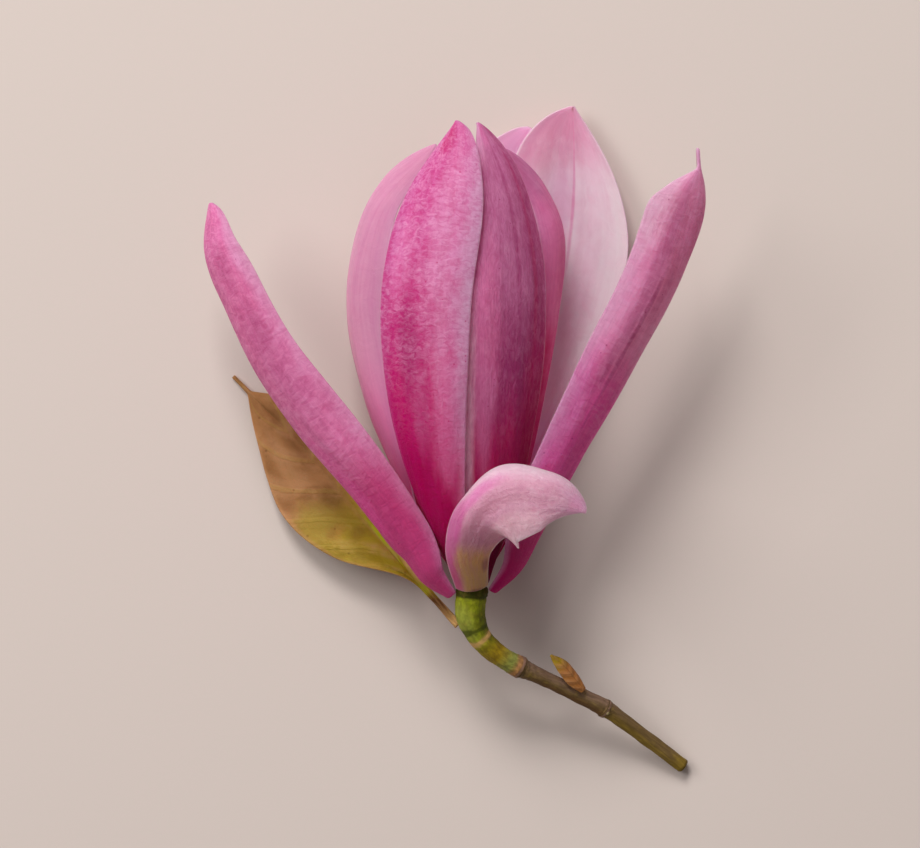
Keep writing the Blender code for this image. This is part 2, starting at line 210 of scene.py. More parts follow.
def bend_sheet(sheet: bmesh.types.BMesh, points: np.ndarray, lowest: float) -> None:
    """Move a sheet's corners to their places.

    Args:
        sheet: The sheet.
        points: A place for each corner, in millimetres from the flower's base.
        lowest: How far above the floor every corner stays, in millimetres.
    """
    points[:, 2] = np.maximum(points[:, 2], lowest - FLOWER_BASE.z)
    for vert, point in zip(sheet.verts, (points + np.array(FLOWER_BASE)) * MM):
        vert.co = point


class Bench:
    """Adds shader nodes to a tree and joins them. A value is a socket, a pigment or a constant."""

    def __init__(self, tree: bpy.types.ShaderNodeTree) -> None:
        """Keep the tree to work on."""
        self.tree = tree

    def feed(self, node: bpy.types.Node, **values: object) -> None:
        """Give a node's inputs their values, by links or as constants.

        Args:
            node: The node.
            values: The values by the inputs' names, with an underscore for each space.
        """
        for name, value in values.items():
            self.give(node.inputs[name.replace("_", " ")], value)

    def give(self, target: Socket, value: object) -> None:
        """Give one input its value.

        Args:
            target: The input.
            value: The value.
        """
        if isinstance(value, Socket):
            self.tree.links.new(value, target)
        else:
            target.default_value = value.rgba if isinstance(value, Pigment) else value

    def node(self, kind: str, *values: object, **settings: object) -> bpy.types.Node:
        """Add a node.

        Args:
            kind: Its type.
            values: The values of its first inputs.
            settings: Its own properties.

        Returns:
            The node.
        """
        made = self.tree.nodes.new(kind)
        for name, value in settings.items():
            setattr(made, name, value)
        for target, value in zip(made.inputs, values):
            self.give(target, value)
        return made

    def fed(self, kind: object, **values: object) -> Sequence[Socket]:
        """Add a node or a shared effect whose inputs are fed by name.

        Args:
            kind: The node's type, or the effect.
            values: The values by the inputs' names, with an underscore for each space.

        Returns:
            Its outputs.
        """
        made = self.node(kind) if isinstance(kind, str) else self.node("ShaderNodeGroup", node_tree=kind)
        self.feed(made, **values)
        return made.outputs

    def math(self, operation: str, a: object, b: object = 0.0, clamp: bool = False) -> Socket:
        """Return the result of a Math node."""
        return self.node("ShaderNodeMath", a, b, operation=operation, use_clamp=clamp).outputs[0]

    def plus(self, a: object, b: object) -> Socket:
        """Return a plus b."""
        return self.math("ADD", a, b)

    def minus(self, a: object, b: object) -> Socket:
        """Return a minus b."""
        return self.math("SUBTRACT", a, b)

    def times(self, a: object, b: object, clamp: bool = False) -> Socket:
        """Return a times b."""
        return self.math("MULTIPLY", a, b, clamp)

    def stray(self, value: object, reach: object) -> Socket:
        """Return how far a value lies from one half, times a reach."""
        return self.times(self.minus(value, 0.5), reach)

    def stretched(self, vector: object, x: object, y: object) -> Socket:
        """Return a blade place multiplied across and along."""
        return self.node("ShaderNodeVectorMath", vector, (x, y, 1.0), operation="MULTIPLY").outputs[0]

    def joined(self, x: Socket, y: Socket) -> Socket:
        """Return the vector of x, y and 0."""
        return self.node("ShaderNodeCombineXYZ", x, y).outputs[0]

    def split(self, vector: object) -> Sequence[Socket]:
        """Return a vector's first two numbers."""
        return self.node("ShaderNodeSeparateXYZ", vector).outputs[:2]

    def soft_step(self, value: object, start: object, end: object,
                  low: object = 0.0, high: object = 1.0) -> Socket:
        """Return a soft step of a value from low at start to high at end."""
        made = self.node("ShaderNodeMapRange", value, start, end, low, high, interpolation_type="SMOOTHSTEP")
        return made.outputs[0]

    def mix(self, share: object, a: object, b: object) -> Socket:
        """Return colour a with a share of colour b.

        Args:
            share: The share.
            a: The colour that it is mixed into.
            b: The colour that is mixed in.

        Returns:
            The mixed colour.
        """
        made = self.node("ShaderNodeMix", share, data_type="RGBA")
        self.give(made.inputs[MIX_A], a)
        self.give(made.inputs[MIX_B], b)
        return made.outputs[MIX_RESULT]

    def tint(self, colour: Socket, pigment: object, mask: Socket, strength: object,
             clamp: bool = False) -> Socket:
        """Return a colour with a pigment laid on where a mask is, at a strength."""
        return self.mix(self.times(mask, strength, clamp), colour, pigment)

    def noise(self, vector: Socket, scale: float = 1.0, detail: float = 3.0, roughness: float = 0.55,
              distortion: float = 0.0) -> Socket:
        """Return a noise value round 0.5."""
        return self.fed("ShaderNodeTexNoise", Vector=vector, Scale=scale, Detail=detail, Roughness=roughness,
                        Distortion=distortion)["Fac"]

    def ramp(self, value: object, stops: Sequence[tuple[float, Pigment]]) -> Socket:
        """Return a colour read from a ramp of pigments.

        Args:
            value: Where it is read, from 0 to 1.
            stops: Places on the ramp with their pigments.

        Returns:
            The colour.
        """
        made = self.node("ShaderNodeValToRGB", value)
        ramp = made.color_ramp
        ramp.interpolation = "EASE"
        while len(ramp.elements) < len(stops):
            ramp.elements.new(1.0)
        for element, (place, pigment) in zip(ramp.elements, stops):
            element.position = place
            element.color = pigment.rgba
        return made.outputs[0]

    def blade_uv(self) -> Socket:
        """Return the piece's own blade coordinates: across from 0 to 1, along from 0 to 1."""
        return self.node("ShaderNodeUVMap", uv_map=BLADE_UV).outputs[0]

    def object_place(self) -> Socket:
        """Return the place in the part's own frame, in metres."""
        return self.node("ShaderNodeTexCoord").outputs["Object"]

    def bump(self, height: Socket, distance: float, strength: float = 0.6) -> Socket:
        """Return a normal bent by a height, of which 1 stands for a distance in metres."""
        return self.fed("ShaderNodeBump", Strength=strength, Distance=distance, Height=height)[0]


@dataclass(frozen=True)
class Flush:
    """A soft oval area of another pigment on a blade.

    Attributes:
        tint: The pigment.
        across: Its middle across the blade, -1 and 1 at the margins.
        along: Its middle along the blade, from 0 at the base to 1 at the tip.
        width: Half its width, on the same scale as across.
        length: Half its length, on the same scale as along.
        strength: How much of the pigment shows at the middle.
    """

    tint: Pigment
    across: float
    along: float
    width: float
    length: float
    strength: float


class Effects:
    """The shader effects that several finishes share, each built once."""

    def __init__(self) -> None:
        """Build every group."""
        self.flush = self.group("soft flush", self.draw_flush, (
            "UV", "Across", "Along", "Half Width", "Half Length", "Strength", "Colour", "Tint"), ("Colour",))
        self.veins = self.group("long veins", self.draw_veins, (
            "UV", "Count", "Repeats", "Waver"), ("Fine", "Broad"))
        self.crepe = self.group("crepe", self.draw_crepe, (
            "UV", "Place", "Across", "Along"), ("Height", "Mottle"))
        self.specks = self.group("specks", self.draw_specks, ("Place", "Scale", "Size", "Share"), ("Mask",))
        self.margin = self.group("margin", self.draw_margin, ("UV", "Minus", "Plus"), ("Mask",))

    @staticmethod
    def group(name: str, draw: Callable[..., None], inputs: Sequence[str], outputs: Sequence[str],
              ) -> bpy.types.ShaderNodeTree:
        """Make one group.

        Args:
            name: Its name.
            draw: Draws it, given a bench, its inputs by name and its output node.
            inputs: The names of its inputs.
            outputs: The names of its outputs.

        Returns:
            The node tree.
        """
        kinds = {"UV": "Vector", "Place": "Vector", "Colour": "Color", "Tint": "Color"}
        tree = bpy.data.node_groups.new(name, "ShaderNodeTree")
        for side, names in (("INPUT", inputs), ("OUTPUT", outputs)):
            for label in names:
                kind = "NodeSocket" + kinds.get(label, "Float")
                tree.interface.new_socket(name=label, in_out=side, socket_type=kind)
        bench = Bench(tree)
        draw(bench, bench.node("NodeGroupInput").outputs, bench.node("NodeGroupOutput"))
        return tree

    @staticmethod
    def draw_flush(bench: Bench, given: Sequence[Socket], result: bpy.types.Node) -> None:
        """Tint a soft oval area of a blade.

        Args:
            bench: Adds the nodes.
            given: The effect's inputs.
            result: The effect's output node.
        """
        u, v = bench.split(given["UV"])
        x = bench.math("DIVIDE", bench.minus(u, given["Across"]), given["Half Width"])
        y = bench.math("DIVIDE", bench.minus(v, given["Along"]), given["Half Length"])
        far = bench.math("SQRT", bench.plus(bench.times(x, x), bench.times(y, y)))
        ragged = bench.noise(bench.stretched(given["UV"], 9.0, 12.0), detail=4.0, roughness=0.6)
        far = bench.plus(far, bench.stray(ragged, 0.7))
        inside = bench.soft_step(far, start=0.3, end=1.1, low=1.0, high=0.0)
        bench.feed(result, Colour=bench.tint(given["Colour"], given["Tint"], inside, given["Strength"]))

    @staticmethod
    def draw_veins(bench: Bench, given: Sequence[Socket], result: bpy.types.Node) -> None:
        """Draw long streaks that run with the blade: fine veins and broad bands.

        Args:
            bench: Adds the nodes.
            given: The effect's inputs.
            result: The effect's output node.
        """
        drift = bench.noise(bench.stretched(given["UV"], 2.0, 5.0), detail=2.0)
        u, v = bench.split(given["UV"])
        u = bench.plus(u, bench.stray(drift, given["Waver"]))
        for label, count, repeats in (("Fine", given["Count"], given["Repeats"]), ("Broad", 6.0, 2.4)):
            streak = bench.noise(bench.joined(bench.times(u, count), bench.times(v, repeats)), roughness=0.5)
            bench.give(result.inputs[label], bench.soft_step(streak, start=0.36, end=0.64))

    @staticmethod
    def draw_crepe(bench: Bench, given: Sequence[Socket], result: bpy.types.Node) -> None:
        """Draw the fine cross-wise crepe of a fleshy blade, and a softer mottle.

        Args:
            bench: Adds the nodes.
            given: The effect's inputs.
            result: The effect's output node.
        """
        u, v = bench.split(given["UV"])
        place = bench.joined(bench.times(u, given["Across"]), bench.times(v, given["Along"]))
        fine = bench.noise(place, detail=4.0, roughness=0.65, distortion=0.8)
        mottle = bench.noise(given["Place"], scale=260.0, detail=4.0, roughness=0.6)
        bench.feed(result, Height=bench.soft_step(fine, start=0.3, end=0.7),
                   Mottle=bench.soft_step(mottle, start=0.3, end=0.7))

    @staticmethod
    def draw_specks(bench: Bench, given: Sequence[Socket], result: bpy.types.Node) -> None:
        """Scatter small round specks.

        Args:
            bench: Adds the nodes.
            given: The effect's inputs.
            result: The effect's output node.
        """
        cells = bench.fed("ShaderNodeTexVoronoi", Vector=given["Place"], Scale=given["Scale"])
        core = bench.times(given["Size"], 0.5)
        near = bench.soft_step(cells["Distance"], core, given["Size"], low=1.0, high=0.0)
        chance, _ = bench.split(cells["Color"])
        bench.feed(result, Mask=bench.times(near, bench.math("LESS_THAN", chance, given["Share"])))

    @staticmethod
    def draw_margin(bench: Bench, given: Sequence[Socket], result: bpy.types.Node) -> None:
        """Mask the two margins of a blade, each to its own width.

        Args:
            bench: Adds the nodes.
            given: The effect's inputs.
            result: The effect's output node.
        """
        u, _ = bench.split(given["UV"])
        wander = bench.plus(bench.noise(bench.stretched(given["UV"], 3.0, 14.0)), 0.5)
        minus, plus = (
            bench.soft_step(inwards, 0.0, bench.times(width, wander), low=1.0, high=0.0)
            for inwards, width in ((u, given["Minus"]), (bench.minus(1.0, u), given["Plus"]))
        )
        bench.feed(result, Mask=bench.math("MAXIMUM", minus, plus))


class Skin:
    """A finish: it makes a material from what its look method gives for the shader's sockets."""

    def material(self, name: str, effects: Effects) -> bpy.types.Material:
        """Build the finish.

        Args:
            name: The material's name.
            effects: The shared shader groups.

        Returns:
            The material.
        """
        made = bpy.data.materials.new(name)
        made.use_nodes = True
        bench = Bench(made.node_tree)
        bench.feed(made.node_tree.nodes["Principled BSDF"], **self.look(bench, effects))
        return made

    def look(self, bench: Bench, effects: Effects) -> dict[str, object]:
        """Give the finish's values for the shader's sockets; each finish has its own."""
        raise NotImplementedError

    @staticmethod
    def flushed(bench: Bench, group: bpy.types.ShaderNodeTree, colour: Socket, uv: Socket,
                flushes: Sequence[Flush]) -> Socket:
        """Lay flushes over a colour, one after the other.

        Args:
            bench: Adds the nodes.
            group: The effect that draws a flush.
            colour: The ground colour.
            uv: The blade coordinates.
            flushes: The flushes.

        Returns:
            The colour with the flushes.
        """
        for flush in flushes:
            colour = bench.fed(
                group, UV=uv, Across=(flush.across + 1.0) / 2.0, Along=flush.along,
                Half_Width=flush.width / 2.0, Half_Length=flush.length, Strength=flush.strength,
                Colour=colour, Tint=flush.tint)[0]
        return colour


@dataclass(frozen=True)
class TepalFinish(Skin):
    """The skin of one face of a tepal: colours from foot to tip, margins, veins, crepe with a painted
    highlight and painted shade, and flushes.
    """

    ground: tuple
    rim: Pigment
    rim_minus: float = 0.12
    rim_plus: float = 0.12
    rim_strength: float = 0.6
    edge: Pigment = Pigment.LILAC
    edge_strength: float = 0.5
    edge_width: float = 0.03
    vein: Pigment = Pigment.PLUM
    vein_strength: float = 0.15
    vein_count: float = 40.0
    vein_repeats: float = 24.0
    band_strength: float = 0.15
    waver: float = 0.12
    # light is the pigment of the painted highlight on the crepe's crests; dark is the pigment of the painted
    # shade in its hollows and also of the specks.
    light: Pigment = Pigment.LILAC
    light_strength: float = 0.25
    light_from: float = 0.2
    dark: Pigment = Pigment.PLUM
    dark_strength: float = 0.2
    crepe_across: float = 9.0
    crepe_along: float = 95.0
    relief: float = 0.00016
    speck_share: float = 0.05
    flushes: tuple = ()
    roughness: float = 0.55
    roughness_spread: float = 0.08
    ground_stray: float = 0.12
    light_ramp: float = 0.35
    least_mottle: float = 0.35
    speck_strength: float = 0.6
    vein_relief: float = 0.4

    def look(self, bench: Bench, effects: Effects) -> dict[str, object]:
        """Lay on the ground, the flushes, the margin, the veins, the crepe's painted highlight and painted
        shade, the edge and the specks.

        Args:
            bench: Adds the nodes.
            effects: The shared shader groups.

        Returns:
            The values for the shader's sockets.
        """
        uv, place = bench.blade_uv(), bench.object_place()
        _, v = bench.split(uv)
        shift = bench.noise(bench.stretched(uv, 5.0, 4.0))
        colour = bench.ramp(bench.plus(v, bench.stray(shift, self.ground_stray)), self.ground)
        colour = self.flushed(bench, effects.flush, colour, uv, self.flushes)
        margin = bench.fed(effects.margin, UV=uv, Minus=self.rim_minus, Plus=self.rim_plus)
        colour = bench.tint(colour, self.rim, margin[0], self.rim_strength)
        veins = bench.fed(
            effects.veins, UV=uv, Count=self.vein_count, Repeats=self.vein_repeats, Waver=self.waver)
        colour = bench.tint(colour, self.vein, veins["Broad"], self.band_strength)
        colour = bench.tint(colour, self.vein, veins["Fine"], self.vein_strength)
        fine, mottle = bench.fed(
            effects.crepe, UV=uv, Place=place, Across=self.crepe_across, Along=self.crepe_along)
        # Painted highlight: the crepe's crests are lightened with the light pigment, from light_from on;
        # painted shade: its hollows are darkened with the dark pigment. The mottle makes both uneven.
        crest_highlight_full = self.light_from + self.light_ramp
        crest_highlight_onset = bench.soft_step(v, self.light_from, crest_highlight_full, 0.0, self.light_strength)
        painted_crest_highlight = bench.times(fine, bench.plus(mottle, self.least_mottle))
        colour = bench.tint(colour, self.light, painted_crest_highlight, crest_highlight_onset, clamp=True)
        painted_hollow_shade = bench.times(bench.minus(1.0, fine), bench.minus(1.0 + self.least_mottle, mottle))
        colour = bench.tint(colour, self.dark, painted_hollow_shade, self.dark_strength, clamp=True)
        edge = bench.fed(effects.margin, UV=uv, Minus=self.edge_width, Plus=self.edge_width)
        colour = bench.tint(colour, self.edge, edge[0], self.edge_strength)
        specks = bench.fed(effects.specks, Place=place, Scale=900.0, Size=0.2, Share=self.speck_share)
        height = bench.plus(fine, bench.times(veins["Fine"], self.vein_relief))
        dull, bright = self.roughness + self.roughness_spread, self.roughness - self.roughness_spread
        return dict(
            Base_Color=bench.tint(colour, self.dark, specks[0], self.speck_strength),
            Roughness=bench.soft_step(fine, start=0.0, end=1.0, low=dull, high=bright),
            Normal=bench.bump(height, self.relief), Subsurface_Weight=0.9, Subsurface_Radius=(1.0, 0.7, 0.8),
            Subsurface_Scale=0.003, IOR=1.38, Specular_IOR_Level=0.07)


@dataclass(frozen=True)
class InnerFaceFinish(TepalFinish):
    """The smoother skin of a tepal's inner face."""

    vein: Pigment = Pigment.ROSE
    vein_strength: float = 0.08
    vein_count: float = 26.0
    vein_repeats: float = 5.0
    light_strength: float = 0.08
    dark_strength: float = 0.08
    crepe_across: float = 8.0
    crepe_along: float = 30.0
    relief: float = 0.00005
    speck_share: float = 0.0


@dataclass(frozen=True)
class LeafFinish(Skin):
    """The skin of a leaf: patches from its base to its tip, side veins, a midrib and a margin."""

    ground: tuple
    vein: Pigment
    midrib: Pigment
    rim: Pigment
    light: Pigment = Pigment.COPPER
    flushes: tuple = ()
    side_veins: float = 8.0
    vein_lean: float = 0.34
    midrib_strength: float = 0.3
    rim_width: float = 0.05
    rim_strength: float = 0.5
    dull: float = 0.6
    bright: float = 0.45
    ground_stray: float = 0.18
    vein_stray: float = 0.05
    vein_strength: float = 0.16
    patch_strength: float = 0.5
    stain_strength: float = 0.3
    speck_strength: float = 0.4
    rib_relief: float = 0.5
    swell_relief: float = 0.8
    crepe_relief: float = 0.3

    def look(self, bench: Bench, effects: Effects) -> dict[str, object]:
        """Lay on the ground, the flushes, the patches, the veins, the margin and the specks.

        Args:
            bench: Adds the nodes.
            effects: The shared shader groups.

        Returns:
            The values for the shader's sockets.
        """
        uv, place = bench.blade_uv(), bench.object_place()
        u, v = bench.split(uv)
        blotch = bench.noise(place, scale=110.0, detail=4.0, roughness=0.6)
        colour = bench.ramp(bench.plus(v, bench.stray(blotch, self.ground_stray)), self.ground)
        colour = self.flushed(bench, effects.flush, colour, uv, self.flushes)
        side = bench.math("ABSOLUTE", bench.minus(u, 0.5))
        lean = bench.minus(v, bench.times(side, self.vein_lean))
        lean = bench.plus(lean, bench.stray(blotch, self.vein_stray))
        wave = bench.math("SINE", bench.times(lean, 2.0 * pi * self.side_veins))
        rib = bench.soft_step(wave, start=0.8, end=1.0)
        swell = bench.soft_step(wave, start=-1.0, end=0.6)
        crepe = bench.fed(effects.crepe, UV=uv, Place=place, Across=30.0, Along=60.0)
        patch = bench.times(swell, bench.soft_step(blotch, start=0.4, end=0.62))
        colour = bench.tint(colour, self.light, patch, self.patch_strength)
        stain = bench.soft_step(blotch, start=0.36, end=0.52, low=self.stain_strength, high=0.0)
        colour = bench.mix(stain, colour, Pigment.UMBER)
        colour = bench.tint(colour, self.vein, rib, self.vein_strength)
        middle = bench.soft_step(side, start=0.012, end=0.04, low=1.0, high=0.0)
        colour = bench.tint(colour, self.midrib, middle, self.midrib_strength)
        margin = bench.fed(effects.margin, UV=uv, Minus=self.rim_width, Plus=self.rim_width)
        colour = bench.tint(colour, self.rim, margin[0], self.rim_strength)
        specks = bench.fed(effects.specks, Place=place, Scale=700.0, Size=0.25, Share=0.08)
        height = bench.plus(bench.times(rib, self.rib_relief), bench.times(swell, self.swell_relief))
        height = bench.plus(height, bench.times(crepe["Height"], self.crepe_relief))
        return dict(
            Base_Color=bench.tint(colour, Pigment.UMBER, specks[0], self.speck_strength),
            Roughness=bench.soft_step(crepe["Mottle"], start=0.0, end=1.0, low=self.dull, high=self.bright),
            Normal=bench.bump(height, distance=0.0003), Subsurface_Weight=0.1, Subsurface_Scale=0.001,
            IOR=1.4, Specular_IOR_Level=0.15)


@dataclass(frozen=True)
class StalkFinish(Skin):
    """The skin of the stalk and twig: green flesh that turns to bark, with rings at the nodes and pale pores.

    Each ring is its place along the line, its half width there and its pigment. Each flush lies round the
    stalk as on a blade, with across from -1 to 1 all the way round: 0 is the left flank, 0.5 the top and
    1 the right flank.
    """

    ground: tuple
    rings: tuple
    flushes: tuple
    streak: Pigment = Pigment.DARK_BARK
    streak_strength: float = 0.35
    wander: float = 0.02
    pale_strength: float = 0.2
    ring_strength: float = 0.85
    ring_core: float = 0.3
    wood_from: float = 0.54
    wood_full: float = 0.56
    pore_strength: float = 0.8
    pore_relief: float = 1.5

    def look(self, bench: Bench, effects: Effects) -> dict[str, object]:
        """Lay on the ground, the flushes, the streaks, the mottle, the rings and the pores.

        Args:
            bench: Adds the nodes.
            effects: The shared shader groups.

        Returns:
            The values for the shader's sockets.
        """
        uv, place = bench.blade_uv(), bench.object_place()
        _, v = bench.split(uv)
        v = bench.plus(v, bench.stray(bench.noise(bench.stretched(uv, 4.0, 60.0)), self.wander))
        colour = self.flushed(bench, effects.flush, bench.ramp(v, self.ground), uv, self.flushes)
        streaks = bench.fed(effects.veins, UV=uv, Count=22.0, Repeats=40.0, Waver=0.1)["Fine"]
        mottle = bench.noise(place, scale=700.0, detail=4.0, roughness=0.6)
        colour = bench.tint(colour, self.streak, streaks, self.streak_strength)
        pale = bench.soft_step(mottle, start=0.5, end=0.75, high=self.pale_strength)
        colour = bench.mix(pale, colour, Pigment.STRAW)
        for middle, half, pigment in self.rings:
            away = bench.math("ABSOLUTE", bench.minus(v, middle))
            ring = bench.soft_step(away, half * self.ring_core, half, low=self.ring_strength, high=0.0)
            colour = bench.mix(ring, colour, pigment)
        pores = bench.fed(effects.specks, Place=place, Scale=260.0, Size=0.13, Share=0.12)
        pore = bench.times(pores[0], bench.soft_step(v, self.wood_from, self.wood_full))
        height = bench.plus(streaks, bench.times(pore, self.pore_relief))
        return dict(
            Base_Color=bench.tint(colour, Pigment.CREAM, pore, self.pore_strength),
            Roughness=bench.soft_step(mottle, start=0.3, end=0.7, low=0.5, high=0.68),
            Normal=bench.bump(height, distance=0.00015),
            IOR=1.4, Specular_IOR_Level=0.15)


@dataclass(frozen=True)
class FleshFinish(Skin):
    """The skin of the small soft parts inside the cup: one pigment towards the root, one at the end.

    The turn from one to the other starts and finishes at heights over the flower's base, in millimetres.
    """

    root: Pigment
    end: Pigment
    start: float
    finish: float
    wander: float = 0.003
    pale_strength: float = 0.35
    bright: float = 0.45
    dull: float = 0.6

    def look(self, bench: Bench, effects: Effects) -> dict[str, object]:
        """Turn from the root's pigment to the end's along the flower's axis, with a pale mottle.

        Args:
            bench: Adds the nodes.
            effects: The shared shader groups; not used.

        Returns:
            The values for the shader's sockets.
        """
        place = bench.object_place()
        _, y = bench.split(place)
        mottle = bench.noise(place, scale=900.0, detail=4.0, roughness=0.6)
        y = bench.plus(y, bench.stray(mottle, self.wander))
        first, last = ((FLOWER_BASE.y + height) * MM for height in (self.start, self.finish))
        colour = bench.mix(bench.soft_step(y, first, last), self.root, self.end)
        pale = bench.soft_step(mottle, start=0.5, end=0.75, high=self.pale_strength)
        return dict(
            Base_Color=bench.mix(pale, colour, Pigment.CREAM),
            Roughness=bench.soft_step(mottle, start=0.3, end=0.7, low=self.bright, high=self.dull),
            Normal=bench.bump(mottle, distance=0.0002, strength=0.5), Subsurface_Weight=0.15,
            Subsurface_Scale=0.0008)


@dataclass(frozen=True)
class PaperFinish(Skin):
    """The matt paper that the branch lies on."""

    tone: Pigment = Pigment.SHELL
    grain_strength: float = 0.03

    def look(self, bench: Bench, effects: Effects) -> dict[str, object]:
        """Lay a faint grain over the tone.

        Args:
            bench: Adds the nodes.
            effects: The shared shader groups; not used.

        Returns:
            The values for the shader's sockets.
        """
        grain = bench.noise(bench.object_place(), scale=900.0, roughness=0.6)
        pale = bench.soft_step(grain, start=0.3, end=0.7, high=self.grain_strength)
        tone = bench.mix(pale, self.tone, Pigment.PEARL)
        return dict(Base_Color=tone, Normal=bench.bump(grain, distance=0.00005, strength=0.2), Roughness=0.85)


def finish_object(name: str, shape: bmesh.types.BMesh,
                  materials: Sequence[bpy.types.Material]) -> bpy.types.Object:
    """Turn a bmesh into an object at the origin, shaded smooth.

    Args:
        name: The object's name.
        shape: The shape, in metres; it is freed.
        materials: Its materials.

    Returns:
        The object.
    """
    mesh = bpy.data.meshes.new(name)
    shape.to_mesh(mesh)
    shape.free()
    mesh.shade_smooth()
    for made in materials:
        mesh.materials.append(made)
    obj = bpy.data.objects.new(name, mesh)
    bpy.context.scene.collection.objects.link(obj)
    return obj


def hand_over(piece: bpy.types.Object, node: str) -> None:
    """Let a piece stand for a node of the frame.

    Args:
        piece: The fine piece.
        node: The node that it replaces.
    """
    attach(piece, BODY)
    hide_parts(node)
    LOG.info("%s stands for %s: %d faces before its modifiers", piece.name, node, len(piece.data.polygons))


@dataclass(frozen=True)
class BladeShape:
    """One thin blade, described at stations evenly spaced from its base to its tip.

    Attributes:
        spine: Places of the midrib.
        facing: Degrees round the flower's axis that the outer face looks to: 0 is up, 90 is +X.
        widths_minus: Width of the half on the minus side.
        widths_plus: Width of the half on the plus side.
        curl_minus: Degrees by which the minus margin has turned towards the inner face.
        curl_plus: The same for the plus margin.
        shoulder: Where along the blade its tip begins to draw in.
        point_minus: 0.5 draws the minus side in like an ellipse, 1 and more to a drawn-out point.
        point_plus: The same for the plus side.
        drawn_at: Where along the blade its tip has drawn in; a thin tail runs on from there.
        tip_width: Half width that is left at the tip.
        ripple: Height of the waves along the margins.
        ripples: How many waves there are.
        ribs: How many long ribs each half has.
        rib_height: Their height.
        groove: Depth of the groove along the midrib.
        buckle: Height of the soft dents all over.
        seed: Where the dents are read from.
        wave_starts: Where in a wave the minus and the plus margin begin, in radians.
        relief_from: Where along the blade its relief begins.
        relief_full: Where it stands at its full height.
        relief_until: Where it begins to fade towards the tip.
        gather: Share by which the ribs draw together at the tip.
        gather_from: Where along the blade they begin to.
        groove_width: Half width of the groove, as a share of the blade's half.
        dents_across: How close the dents lie across each half.
        dents_along: How close they lie from base to tip.
    """

    spine: tuple
    facing: tuple
    widths_minus: tuple
    widths_plus: tuple
    curl_minus: tuple
    curl_plus: tuple
    shoulder: float = 0.7
    point_minus: float = 0.8
    point_plus: float = 0.8
    drawn_at: float = 1.0
    tip_width: float = 0.25
    ripple: float = 0.0
    ripples: float = 3.0
    ribs: float = 4.0
    rib_height: float = 0.06
    groove: float = 0.12
    buckle: float = 0.25
    seed: float = 0.0
    wave_starts: tuple = (1.0, 2.5)
    relief_from: float = 0.06
    relief_full: float = 0.25
    relief_until: float = 0.85
    gather: float = 0.35
    gather_from: float = 0.6
    groove_width: float = 0.07
    dents_across: float = 2.2
    dents_along: float = 7.0

    def surface(self, s: np.ndarray, t: np.ndarray) -> tuple[np.ndarray, np.ndarray]:
        """Read the blade's middle surface.

        Args:
            s: Across, from -1 to 1.
            t: Along, from 0 at the base to 1 at the tip.

        Returns:
            Places in millimetres from the flower's base, and the directions that the outer face looks to.
        """
        ahead = ahead_of(self.spine, t, SPINE_STEP)
        turn = np.radians(along(self.facing, t))
        outward = np.stack((np.sin(turn), np.zeros_like(turn), np.cos(turn)), axis=1)
        outward = unit(outward - ahead * np.sum(ahead * outward, axis=1, keepdims=True))
        across = np.cross(ahead, outward)
        minus = s < 0.0
        side = np.where(minus, -1.0, 1.0)
        draw = np.clip((t - self.shoulder) / (self.drawn_at - self.shoulder), 0.0, 1.0)
        point = np.where(minus, self.point_minus, self.point_plus)
        width = np.where(minus, along(self.widths_minus, t), along(self.widths_plus, t))
        width = np.maximum(width * np.power(1.0 - draw * draw, point), self.tip_width)
        least = radians(1.0)
        curl = np.radians(np.where(minus, along(self.curl_minus, t), along(self.curl_plus, t)))
        curl = np.where(np.abs(curl) < least, least, curl)
        angle = curl * np.abs(s)
        radius = width / curl
        phase = np.where(minus, *self.wave_starts)
        wave = self.ripple * s * s * np.sin(pi * t) * np.sin(2.0 * pi * self.ripples * t + phase)
        sideways = (radius * np.sin(angle) * side)[:, None]
        inward = (radius * (1.0 - np.cos(angle)) + wave)[:, None]
        normal = outward * np.cos(angle)[:, None] + across * (np.sin(angle) * side)[:, None]
        return along(self.spine, t) + across * sideways - outward * inward, normal

    def relief(self, s: np.ndarray, t: np.ndarray) -> np.ndarray:
        """Read the fine relief on the blade: ribs, the midrib's groove and soft dents.

        Args:
            s: Across, from -1 to 1.
            t: Along, from 0 at the base to 1 at the tip.

        Returns:
            Heights in millimetres towards the outer face.
        """
        fade = rise(t, self.relief_from, self.relief_full) * (1.0 - rise(t, self.relief_until, 1.0))
        spread = np.abs(s) * (1.0 - self.gather * rise(t, self.gather_from, 1.0))
        ribs = self.rib_height * np.cos(2.0 * pi * self.ribs * spread) * (1.0 - np.abs(s))
        groove = -self.groove * np.exp(-np.square(s / self.groove_width))
        dents = bumps(self.dents_across * s + self.seed, self.dents_along * t, np.full_like(t, self.seed))
        return fade * (ribs + groove + self.buckle * dents)


